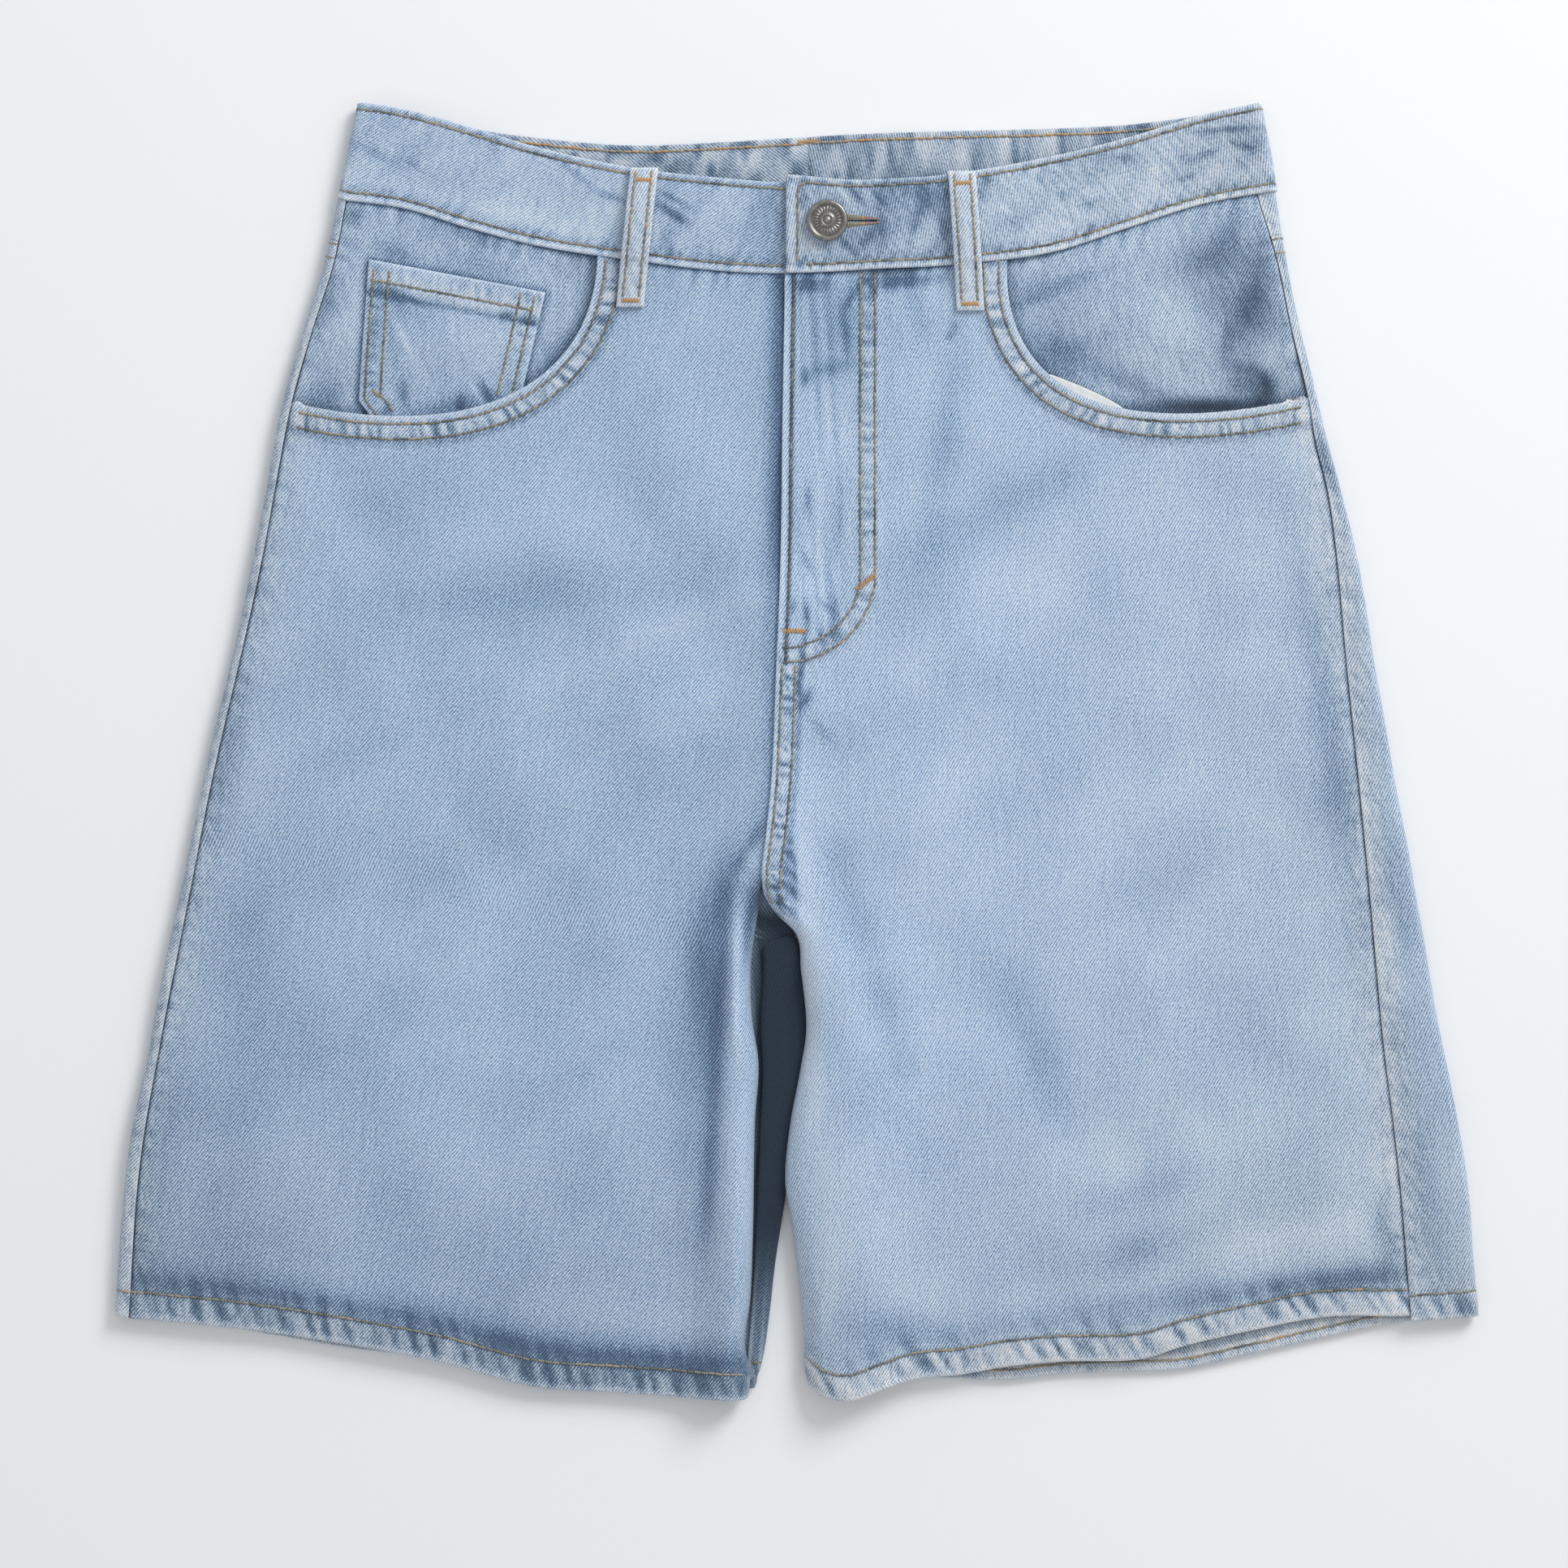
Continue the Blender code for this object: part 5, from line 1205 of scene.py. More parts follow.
COIN_POCKET_PUCKER = Pucker(0.14, 5.2, 0.0, 4.0, 3.0, 0.3, 0.4, 2.2)


def hip_facing(side, word):
    """The denim panel behind the pocket mouth: its edges are the waist, the side seam and a line
    under the front, and its height is that of the front less how far it hangs."""
    mouth = pocket_mouth(side, FACING_MOUTH)
    under = beside(mouth, side * FACING_UNDER)
    steps = np.linspace(0, 1, FACING_STEPS)
    last = along_line(under[: FACING_CORNER + 1], steps)
    foot = along_line(under[FACING_CORNER:], 1 - steps)
    corner_x = seam_x(side, WAIST[0].front_seam)
    side_y = mix(float(waist_y(corner_x)) - SEAM_GAP, foot[0, 1], steps)
    first = stacked(seam_x(side, side_y) - side * SEAM_GAP / 2, side_y)
    top_x = mix(first[0, 0], last[0, 0], steps)
    top = stacked(top_x, waist_y(top_x) - SEAM_GAP)
    first[0], first[-1], last[0], last[-1] = top[0], foot[0], top[-1], foot[-1]
    foot[0, 0] = first[-1, 0] = float(seam_x(side, foot[0, 1])) - side * SEAM_GAP
    grid = patch(top, foot, first, last)
    x, y = grid[..., 0], grid[..., 1]
    marks = Marks(x, 0.22)
    marks.height += 0.5 * unevenness(x, y, 7.7 + side)
    waist = waist_y(x) - y
    marks.pucker(waist, x, BELOW_BAND)
    # the seam's groove under the waistband, with a painted shadow line along it
    marks.along(waist, 1.6, height=-0.4, deep=0.6, shade=0.12)
    seam = side * (seam_x(side, y) - x)
    marks.pucker(seam, y, SIDE_PUCKER)
    marks.along(seam, 1.2, height=-0.4, pale=0.3)
    # deeper blue and painted shadow where the facing lies under the pocket mouth's edge
    away, _ = near(x, y, pocket_mouth(side))
    marks.along(away, 3.6, shade=0.25, deep=0.35)
    marks.tones(x, y, FACING_TONES[side])
    if side < 0:
        # painted shade round the coin pocket's edges
        pocket = (COIN_POCKET_FOOT[1], COIN_POCKET_FOOT[0], *COIN_POCKET_TOP, COIN_POCKET_FOOT[2])
        marks.along(near(x, y, pocket)[0], 1.8, deep=0.55, shade=0.12)
    else:
        marks.deep += 0.06
        middle_x, middle_y, wide, long, high = PLEAT
        marks.height += high * np.exp(-(((x - middle_x) / wide) ** 2) - ((y - middle_y) / long) ** 2)
    outer = stacked(x, y, facing_height(side, x, y) + marks.height * ease((away - 1) / 8))
    inner = outer - DENIM * facing_up(outer)
    flat = turn_flat(x, y, 6 if side < 0 else 0)
    cloth(f"facing_{word}_cloth", outer, inner, flat, marks.wear_and_shading())


def coin_pocket():
    """The small pocket on the right facing: a patch between its top, its sides and its foot, one
    layer above the facing and thicker along its hem."""
    edges = (COIN_POCKET_TOP, COIN_POCKET_FOOT[1:], *COIN_POCKET_ENDS)
    grid = patch(*(along_line(edge, np.linspace(0, 1, COIN_POCKET_STEPS)) for edge in edges))
    x, y = grid[..., 0], grid[..., 1]
    marks = Marks(x, 0.15)
    marks.height += 0.35 * unevenness(x, y, 2.9)
    aways = []
    for line, pale in zip((COIN_POCKET_TOP, *COIN_POCKET_ENDS), (0.5, 0.45, 0.45)):
        away, run = near(x, y, line)
        marks.pucker(away, run, COIN_POCKET_PUCKER)
        marks.along(away, 1.1, pale=pale)
        aways.append(away)
    hem, side, _ = aways
    marks.along(side - 3.6, 3.0, deep=0.15)
    marks.along(hem - COIN_POCKET_HEM_STITCH, 4.5, pale=0.3, streaks=0.2)
    marks.along(hem - COIN_POCKET_HEM_STITCH, 0.8, height=-0.2)
    marks.along(hem - 13.4, 1.1, height=-0.15, deep=0.5)
    marks.tones(x, y, COIN_POCKET_TONES)
    under = facing_height(-1, x, y) + SEAM_GAP
    rise = MOUTH_EDGE_RISE * doubled(hem, COIN_POCKET_HEM)
    outer = stacked(x, y, under + DENIM + rise + np.maximum(marks.height, -0.3))
    inner = stacked(x, y, under)
    cloth("coin_pocket_cloth", outer, inner, turn_flat(x, y, RIGHT_TURN), marks.wear_and_shading())


def pocket_lining():
    """The edge of the left pocket's cotton bag: offsets from the mouth, which it passes by a little
    in the middle of its length."""
    shares = np.linspace(*LINING_STRETCH, LINING_COLUMNS)
    line = along_line(pocket_mouth(1, LINING_MOUTH_POINTS), shares)
    shows = LINING_SHOWS * np.sin(np.linspace(0, math.pi, LINING_COLUMNS)) ** LINING_FULLNESS
    across = np.linspace(0, 1, LINING_ROWS)[:, None]
    offset = mix(-LINING_UNDER, shows[None, :], across)
    grid = beside(line, -offset[..., None])
    x, y = grid[..., 0], grid[..., 1]
    top = front_height(1, x, y) - DENIM - SEAM_GAP + 0.12 * ripple(x + 0.4 * y, 5.5, 1.2) * across
    outer = stacked(x, y, top)
    inner = outer - (0, 0, LINING)
    cloth("pocket_lining_left_cloth", outer, inner, grid, Marks(x, 0).wear_and_shading(), finish=COTTON)


# ======== backs and yokes ========
def waist_seam(x, angle):
    """Y of the waistband's lower edge: the front's seam, round the side fold to the back's."""
    return mix(waist_y(x), follow(WAIST, "back_top", x) - BAND_DEPTH, angle / math.pi)


def yoke_line(x):
    """Y of the seam between yoke and back."""
    return mix(YOKE_CENTRE, YOKE_SIDE, np.clip(np.abs(x) / YOKE_SIDE_X, 0, 1))


def measures(side, y):
    """A back's cross-section at y, outwards from the shorts' middle: X of the side seam, of the
    side fold's centre and of the bed's end, and how much cloth turns back beyond it."""
    extra = np.maximum(follow(BACK_INNERS[side], "return_by", y), 0)
    curl = np.clip(extra / (math.pi / 2 * INSEAM_FOLD), 0, 1)
    seam = side * seam_x(side, y) + SEAM_GAP
    centre = side * follow(SIDES[side], "fold", y) - SIDE_FOLD
    bed_end = side * follow(BACK_INNERS[side], "x", y) + INSEAM_FOLD * curl
    return seam, centre, bed_end, extra


def columns_along(strip, turned, bed_stop, extra):
    """How far along the section each column lies: along the strip on top, round the side fold, on
    the bed, round the inner fold, and to the end of what is turned back."""
    end = bed_stop + extra
    returned = np.maximum(extra - math.pi * INSEAM_FOLD, LEAST_RETURN)
    fold_end = end - returned
    stops = (0 * end, strip, turned, fold_end - math.pi * INSEAM_FOLD, fold_end, end)
    counts = (STRIP_COLUMNS, FOLD_COLUMNS, BED_COLUMNS, INSEAM_FOLD_COLUMNS, RETURN_COLUMNS)
    index = np.arange(sum(counts) + 1)[None, :]
    walked, passed = 0 * end, 0
    for start, stop, count in zip(stops, stops[1:], counts):
        walked = walked + (stop - start) * np.clip((index - passed) / count, 0, 1)
        passed += count
    return walked


def section(side, y):
    """Points (x, z) of a back's outer face at y, its normals there, how far round the side fold
    and round the inner fold each one is, and its run along the bed from the side fold."""
    seam, centre, bed_end, extra = measures(side, y)
    strip = centre - seam
    turned = strip + math.pi * SIDE_FOLD
    bed_stop = turned + centre - bed_end
    walked = columns_along(strip, turned, bed_stop, extra)
    angle = np.clip((walked - strip) / SIDE_FOLD, 0, math.pi)
    under = np.clip((walked - bed_stop) / INSEAM_FOLD, 0, math.pi)
    out = seam + np.clip(walked, 0, strip) + SIDE_FOLD * np.sin(angle)
    out = out - np.clip(walked - turned, 0, bed_stop - turned) - INSEAM_FOLD * np.sin(under)
    out = out + np.maximum(walked - bed_stop - math.pi * INSEAM_FOLD, 0)
    up = SIDE_FOLD * (1 + np.cos(angle)) + INSEAM_FOLD * (1 - np.cos(under))
    level = np.where(walked < bed_stop, np.cos(angle), -np.cos(under))
    normal = stacked(side * (np.sin(angle) - np.sin(under)), 0, level)
    return side * out, up, normal, angle, under, (walked > turned + 1) & (walked < bed_stop - 2)


BACK_TONES = {  # rows of Tone
    -1: (
        (-100, 60, 70, 22, 12, 0.2), (-90, -60, 60, 30, 70, 0.15), (-50, -20, 46, 7, 22, 0, 0.3),
        (-56, -42, 40, 5, 12, 0.25), (-247, -100, 80, 7, 82, 0, 0.25), (-200, -205, 50, 12, 4, 0, 0.2),
    ),
    1: (
        (100, 60, 70, 22, -12, 0.2), (90, -60, 60, 30, -70, 0.15), (52, -18, 46, 7, -22, 0, 0.3),
        (58, -42, 40, 5, -12, 0.25), (259, -180, 36, 7, 98, 0, 0.3), (246, -60, 40, 5, 98, 0, 0.3),
        # (214, 122) is painted shadow below the left pocket's corner
        (243, -75, 28, 6, 99, 0.35), (214, 122, 14, 4, -65, 0, 0.6, 0.15),
        (236, -180, 40, 8, 98, 0, 0.35), (200, -205, 50, 12, -4, 0, 0.2),
    ),
}
UNDER_PUCKER = Pucker(0.3, 6.5, 0.3, 4.0, 5.0, 0.3, 0.5, 0.9)
UNDER_HEM = Pucker(0.35, 9.3, 0.5, 4.5, 5.5, 0.5, 0.6, 2.7)
YOKE_STITCHES = (1.4, 7.4)
INSIDE_RELIEF = 0.3  # share of a crease that shows on the inner face, which the front lies over


def back_marks(side, x, y, angle, under):
    """Creases and worn tones of a back or a yoke: along the side seam, the hem, the yoke's seam and the
    centre back, and painted shade on the cloth that is turned back inside the leg."""
    marks = Marks(x, 0.05)
    marks.height += unevenness(x, y, 3.1 + side)
    hem = y - hem_line(side, "back", x)
    marks.pucker(hem, x, UNDER_HEM)
    marks.along(hem, 1.3, pale=0.6)
    marks.along(hem - HEM_STITCH, 0.9, height=-0.2)
    marks.along(hem - HEM_STITCH / 2, 7.0, streaks=0.5)
    seam = np.where(angle < 2, side * (x - seam_x(side, y)), FAR)
    marks.pucker(seam, y, SIDE_PUCKER)
    marks.along(seam, 1.6, height=0.15, pale=0.45)
    marks.along(seam, 9.0, streaks=0.45)
    below_yoke = yoke_line(x) - y
    marks.pucker(below_yoke, x, UNDER_PUCKER)
    marks.along(below_yoke, 1.3, pale=0.4)
    for row in YOKE_STITCHES:
        marks.along(below_yoke - row, 0.8, height=-0.16)
    centre = side * (x - follow(BACK_INNERS[side], "x", y))
    above_crotch = ease((y + 72) / 8)
    marks.pucker(centre, y, UNDER_PUCKER, above_crotch)
    marks.along(np.where(above_crotch > 0, centre, FAR), 1.3, pale=0.4)
    # Painted shade on the cloth turned back inside the leg, where the slit between the legs shows it,
    # lighter near the hems where light gets in; the pale streaks there are painted where that light falls.
    turned_back = ease((under - 0.6) / 0.8)
    lit = lit_foot(y)
    marks.shade += (0.97 if side < 0 else 0.6) * turned_back * (1 - 0.62 * lit)
    marks.deep += 0.45 * turned_back
    wave = ripple(x - 0.08 * y, 4.2, 1.0) * turned_back * lit
    marks.pale += 1.8 * np.clip(wave, 0, 1)
    marks.tones(x, y, BACK_TONES[side])
    return marks


def back_piece(side, name, top_line, foot_line, shares):
    """A yoke or a back: each row is the section at its y, and top_line and foot_line give y at x
    and at the angle round the side fold. Creases only sink into the face that lies on the floor."""
    share = np.asarray(shares, float)[:, None]
    y = YOKE_SIDE * (1 - share)
    for _ in range(SETTLING_ROUNDS):
        x, z, normal, angle, under, on_bed = section(side, y)
        y = mix(top_line(x, angle), foot_line(x, angle), share)
    plain = stacked(x, y, z)
    marks = back_marks(side, x, y, angle, under)
    upright = ease((math.pi / 2 - angle) / 0.6)
    height = mix(np.minimum(marks.height, 0), marks.height, upright)
    outer = plain + normal * height[..., None]
    wall = DENIM + HEM_TURNING * on_bed * doubled(y - hem_line(side, "back", x), HEM_DEPTH)
    wall = wall + INSIDE_RELIEF * np.maximum(marks.height, 0) * on_bed
    inner = plain - normal * wall[..., None]
    flat = turn_flat(side * walk(plain), y, RIGHT_TURN if side < 0 else 0)
    wear_and_shading = marks.wear_and_shading()
    inside = wear_and_shading * (0.6, 0.8, 0, 1) + (0.2, 0, 0, 0)
    # painted shade on the inner face between the legs, where the slit shows it, and a painted shadow line
    # under the front's hem edge
    inside[..., 2] = 0.94 * shade_between_legs(x, y)
    inside[..., 2] += 0.6 * np.exp(-(((y - hem_line(side, "front", x)) / 1.2) ** 2))
    ridge = np.exp(-(((y - hem_line(side, "back", x) - HEM_INSIDE_STITCHES[side] - 1.2) / 0.9) ** 2))
    inside[..., 0] += 0.9 * ridge
    cloth(f"{name}_cloth", outer, inner, flat, wear_and_shading, inside, RIM_BULGE + 0.25 * (wall - DENIM))
    return outer, normal, inner


def lit_foot(y):
    """1 near the hems, where light gets in between the legs, and 0 above."""
    return ease((-190 - y) / 70)


def shade_between_legs(x, y):
    """1 between the legs, where the slit shows the inside of the back in deep shade."""
    return ease((24 - np.abs(x)) / 8) * ease((-58 - y) / 12) * (1 - 0.5 * lit_foot(y))


def back_shares(side):
    """Rows of a back: a few above the pocket's corner, then the front's own, so that the two
    edges of the side seam run side by side."""
    edge = side_seam_rows(side)
    top = yoke_line(edge[0, 0]) - SEAM_GAP / 2
    foot = edge[-1, 1]
    lower = (top - edge[:, 1]) / (top - foot)
    return np.concatenate([lower[0] * np.linspace(0, 1, BACK_TOP_ROWS, endpoint=False), lower])


def back_and_yoke(side, word):
    """Both pieces of one half of the back, and their sewing."""
    yoke, yoke_up, _ = back_piece(
        side,
        f"yoke_{word}",
        lambda x, angle: waist_seam(x, angle) - SEAM_GAP,
        lambda x, angle: yoke_line(x) + SEAM_GAP / 2,
        np.linspace(0, 1, YOKE_ROWS),
    )
    back, back_up, inside = back_piece(
        side,
        f"back_{word}",
        lambda x, angle: yoke_line(x) - SEAM_GAP / 2,
        lambda x, angle: hem_line(side, "back", x),
        back_shares(side),
    )
    sewing = Sewing(f"back_{word}_stitching")
    bed = slice(STRIP_COLUMNS, STRIP_COLUMNS + FOLD_COLUMNS + BED_COLUMNS)
    below_yoke = yoke_line(back[..., 0]) - back[..., 1]
    below_hem = hem_line(side, "back", back[..., 0]) - back[..., 1]
    for level, inset, face, up, columns, tone in (
        (below_yoke, YOKE_STITCHES[0], back, back_up, slice(bed.stop), TAN),
        (below_yoke, YOKE_STITCHES[1], back, back_up, slice(bed.stop), TAN),
        (below_hem, -HEM_STITCH, back, back_up, slice(None), TAN),
        (below_hem, -HEM_INSIDE_STITCHES[side], inside, -back_up, bed, DUSTY),
    ):
        row = row_at(level, inset)
        sewing.run(between_rows(face, row)[columns], between_rows(up, row)[columns], tone)
    if side > 0:
        for inset in FELL_ROWS:
            for grid, up in ((yoke, yoke_up), (back, back_up)):
                middle = grid[:, :, 0] - follow(LEFT_BACK_INNER, "x", grid[..., 1])
                column = row_at(-middle.T, -inset)
                line = between_rows(grid.transpose(1, 0, 2), column)
                sewn = line[:, 1] > -70
                sewing.run(line[sewn], between_rows(up.transpose(1, 0, 2), column)[sewn], TAN)
    sewing.finish()


# ======== waistband ========
BAND_TOP_PUCKER = Pucker(0.10, 6.1, 0.5, 2.0, 3.5, 0.25, 0.4, 0.7)
BAND_FOOT_PUCKER = Pucker(0.16, 5.4, -0.6, 3.0, 4.0, 0.3, 0.55, 4.4)
BAND_MIDDLE = Pucker(0.16, 23.0, 0.9, 19.0, 16.0, 0.1, 0.15, 2.4)
BACK_BAR = ((1.0, 250.4), (8.5, 250.8))  # a bar of close stitches at the centre back
BACK_BAR_WIDTH = 1.8
HOLE_FADE = 6.0  # rows of the waistband are drawn aside for the buttonhole, up to this far
SLIT = 0.35  # half its width
BAND_TONES = {  # rows of Tone
    -1: (
        # the darker ones at x = -7 and -12, beside the left end's overlap, are painted shade in its shadow
        (-90, 236, 9, 1.6, -39, 0, 0.4), (-76, 227, 6, 1.7, -16, 0, 0.6, 0.03),
        (-115, 217, 70, 6, -14, 0.3), (-30, 239, 28, 3.5, -6, 0, 0.35),
        (-12, 216, 18, 7, 90, 0, 0.3, 0.03), (-51, 220, 7, 1.9, -34, 0, 0.9, 0.3),
        (-50, 225.5, 7, 1.4, -30, 0, 0.6, 0.05), (-52.5, 207, 8, 2.4, 90, 0, 0.35),
        (-172, 245, 10, 2.4, -27, 0, 0.35), (-157.5, 240.5, 4, 1.5, -45, 0, 0.35),
        (-7, 216, 18, 3, 90, 0, 0.2, 0.08), (-186, 236, 20, 4, 90, 0.35), (-120, 232, 26, 9, 60, 0.12),
        (-20, 214, 10, 3, 70, 0, 0.2),
    ),
    1: (
        # the dark one at x = 60 is painted shadow beside the left belt loop
        (46, 229, 34, 8, 1, 0, 0.55, 0.04), (30, 214, 26, 7, 15, 0, 0.4),
        (122, 240, 22, 6, 16, 0, 0.25), (140, 221, 52, 6, 16, 0.25),
        (185, 252, 9, 8, 20, 0, 0.35, 0.05), (2.5, 226, 4.5, 2.2, 80, 0, 0.5),
        (12, 205, 3.2, 1.8, -60, 0, 0.4), (9, 208, 8, 6, 0, 0.4),
        (20.5, 206.5, 4.5, 1.8, -45, 0, 0.6, 0.05), (28.5, 209, 7, 1.8, 53, 0, 0.6, 0.05),
        (34.5, 214, 8, 1.5, 95, 0, 0.5), (19, 228, 6, 1.3, -50, 0.7), (24, 227.5, 6, 1.2, -50, 0, 0.55),
        (29, 227, 6, 1.3, -50, 0.6), (33.5, 226.5, 5, 1.2, -50, 0, 0.5), (44, 216, 10, 1.3, 72, 0.5),
        (48.5, 215, 10, 1.2, 72, 0, 0.45), (52, 227.5, 6, 2.4, -55, 0, 0.5, 0.04),
        (60, 215, 10, 2.2, 95, 0, 0.55, 0.06), (78, 234, 2.6, 1.7, 90, 0, 0.7, 0.1),
        (89, 217, 11, 5, 20, 0, 0.3), (177, 255, 13, 1.2, 4, 0, 0.6, 0.1),
        (184, 248, 6, 1.3, -10, 0, 0.55, 0.05), (167, 244.5, 7, 1.4, 20, 0, 0.5),
        (160, 235.5, 5, 1.4, 17, 0, 0.45), (135, 243, 3, 2, 0, 0, 0.45), (110, 228, 3, 2, 20, 0, 0.4),
        (122, 225, 4, 2, 20, 0, 0.35), (100, 235, 3, 2, 60, 0, 0.4), (-2, 215, 18, 2, 90, 0.5),
    ),
}


def band_marks(side, x, y, top, foot):
    """Creases, worn tones and some painted shade of the waistband between its edges top and foot, both as
    Y at each x.
    """
    marks = Marks(x, 0.3)
    marks.height += 0.6 * unevenness(x, y, 6.3 + side)
    from_top, from_foot = top - y, y - foot
    marks.pucker(from_top, x, BAND_TOP_PUCKER)
    marks.pucker(from_foot, x, BAND_FOOT_PUCKER)
    marks.pucker(from_top, x, BAND_MIDDLE)
    marks.pale += 0.12
    marks.streaks += 0.1 if side > 0 else -0.1
    marks.along(from_top, 1.0, pale=0.4)
    marks.along(from_top - BAND_TOP_STITCH, 0.9, height=-0.25, deep=0.25)
    marks.along(from_foot, 1.4, height=0.2, pale=0.55)
    marks.along(from_foot - BAND_FOOT_STITCH, 0.8, height=-0.3, deep=0.3)
    marks.along(from_foot - BAND_FOOT_STITCH - 2, 2.0, deep=0.2)
    marks.tones(x, y, BAND_TONES[side])
    return marks


def draw_aside(x, y, row):
    """Rows of the waistband moved apart round the buttonhole, which opens between row and row + 1:
    half its width is the eyelet's circle or the slit, and the shift fades over HOLE_FADE."""
    reach = x[row] - BUTTON_AT[0]
    half = np.maximum(SLIT, np.sqrt(np.clip(EYELET_RADIUS**2 - reach**2, 0, None)))
    start = BUTTON_AT[0] - EYELET_RADIUS
    there = ease((x[row] - start + HOLE_FADE) / HOLE_FADE)
    there = there * ease((BUTTONHOLE_END + HOLE_FADE - x[row]) / HOLE_FADE)
    index = np.arange(len(y))[:, None]
    for edge, way, rows in ((row, 1, index <= row), (row + 1, -1, index > row)):
        shift = (BUTTON_AT[1] + way * half - y[edge]) * there
        away = np.abs(y - y[edge]) / HOLE_FADE
        y = y + np.where(rows, shift * np.clip(1 - away, 0, 1), 0)
    return y


def waistband(side, word):
    """Half of the waistband: from the fly over the front, half a turn round the side fold, and on
    the floor to the centre back."""
    start = UNDERLAP_END if side < 0 else OVERLAP_START
    radius = (LAID_HEIGHT + BAND_RISE) / 2
    index = np.arange(BAND_FRONT_COLUMNS + BAND_FOLD_COLUMNS + BAND_BACK_COLUMNS)[None, :]
    turn = np.clip((index - BAND_FRONT_COLUMNS) / (BAND_FOLD_COLUMNS - 1), 0, 1) * math.pi
    to_back = (index - BAND_FRONT_COLUMNS - BAND_FOLD_COLUMNS + 1) / BAND_BACK_COLUMNS
    share = (spaced(BAND_ROW_STEPS) / BAND_DEPTH)[:, None]
    y = np.full((len(share), index.size), WAIST[0].front_top)
    on_front = turn == 0
    for _ in range(SETTLING_ROUNDS):
        centre = follow(SIDES[side], "fold", y) - side * radius
        front_x = mix(start, centre, index / BAND_FRONT_COLUMNS)
        back_x = mix(centre, CENTRE_BACK + side * SEAM_GAP / 2, to_back)
        x = np.where(to_back > 0, back_x, centre + side * radius * np.sin(turn))
        x = np.where(on_front, front_x, x)
        top = mix(follow(WAIST, "front_top", x), follow(WAIST, "back_top", x), turn / math.pi)
        if side > 0:
            top = top + OVERLAP_STEP * on_front * (1 - between(x, OVERLAP_STEP_FADE))
        foot = waist_seam(x, turn)
        y = mix(top, foot, share)
    hole = None
    if side > 0:
        row = int(np.searchsorted(-y[:, 10], -BUTTON_AT[1])) - 1
        y = np.where(on_front, draw_aside(x, y, row), y)
        inside = (x[row] > BUTTON_AT[0] - EYELET_RADIUS) & (x[row] < BUTTONHOLE_END) & on_front[0]
        hole = (row, int(np.argmax(inside)), int(np.argmax(inside) + inside.sum() - 1))
    z = np.where(on_front, band_height(side, x, y), radius * (1 + np.cos(turn)))
    plain = stacked(x, y, z)
    level = stacked(side * np.sin(turn) + 0 * y, 0, np.cos(turn))
    normal = np.where(on_front[..., None], facing_up(plain), level)
    marks = band_marks(side, x, y, top, foot)
    height = np.where(turn < math.pi / 2, marks.height, np.minimum(marks.height, 0))
    outer = plain + normal * height[..., None]
    inside_height = np.where(on_front, 0, 0.6 * marks.height)
    inner = plain - normal * (BAND + inside_height)[..., None]
    walked = walk(plain).mean(axis=0)
    flat = turn_flat(side * walked + 0 * y, y, BAND_TURNS[side])
    wear_and_shading = marks.wear_and_shading()
    inside = wear_and_shading * (0.3, 0.5, 0, 0)
    wave = ripple(x + 0.12 * y, 3.4, 2.6)
    # pale and deep blue streaks on the inner face, and a little painted shade where it lies on the front
    inside += stacked(0.7 * np.clip(wave, 0, 1), 0.12 + 0.75 * np.clip(-wave, 0, 1), 0.12 * on_front, 1)
    cloth(f"waistband_{word}_cloth", outer, inner, flat, wear_and_shading, inside, BAND_BULGE, hole=hole)
    band_sewing(side, word, outer, normal, inner)


def band_sewing(side, word, outer, normal, inner):
    """A row along the waistband's top and one along its seam, on the outer face and, where the back
    shows over the front, the inner one; on the left end they turn down the overlap's edge."""
    rows = np.arange(len(outer))
    down = spaced(BAND_ROW_STEPS)
    sewing = Sewing(f"waistband_{word}_stitching")
    back = slice(BAND_FRONT_COLUMNS + BAND_FOLD_COLUMNS, None)
    for away in (BAND_TOP_STITCH, BAND_DEPTH - BAND_FOOT_STITCH):
        row = np.interp(away, down, rows)
        line, up = between_rows(outer, row), between_rows(normal, row)
        turn_at = OVERLAP_START + (OVERLAP_STITCH + OVERLAP_CORNER if side > 0 else 0)
        seen = int(np.argmax(side * line[:, 0] > side * turn_at))
        sewing.run(line[seen:], up[seen:], TAN)
        sewing.run(between_rows(inner, row)[back], -up[back], BRASS)
        if side > 0 and away == BAND_TOP_STITCH:
            angle = np.linspace(math.pi / 2, math.pi, 9)
            corner = line[seen, :2] + OVERLAP_CORNER * stacked(np.cos(angle), np.sin(angle) - 1)
            foot = (corner[-1, 0] - 0.3, waist_y(corner[-1, 0]) + BAND_FOOT_STITCH)
            corner = np.concatenate([corner, np.linspace(corner[-1], foot, 14)[1:]])
            sewing.run_on("waistband_left", corner, TAN)
            bar = np.linspace(*BACK_BAR, 9)
            halves = zip(drop_on("waistband_right", bar), drop_on("waistband_left", bar))
            sewing.bartack(*(np.concatenate(both) for both in halves), BACK_BAR_WIDTH, ORANGE)
    sewing.finish()


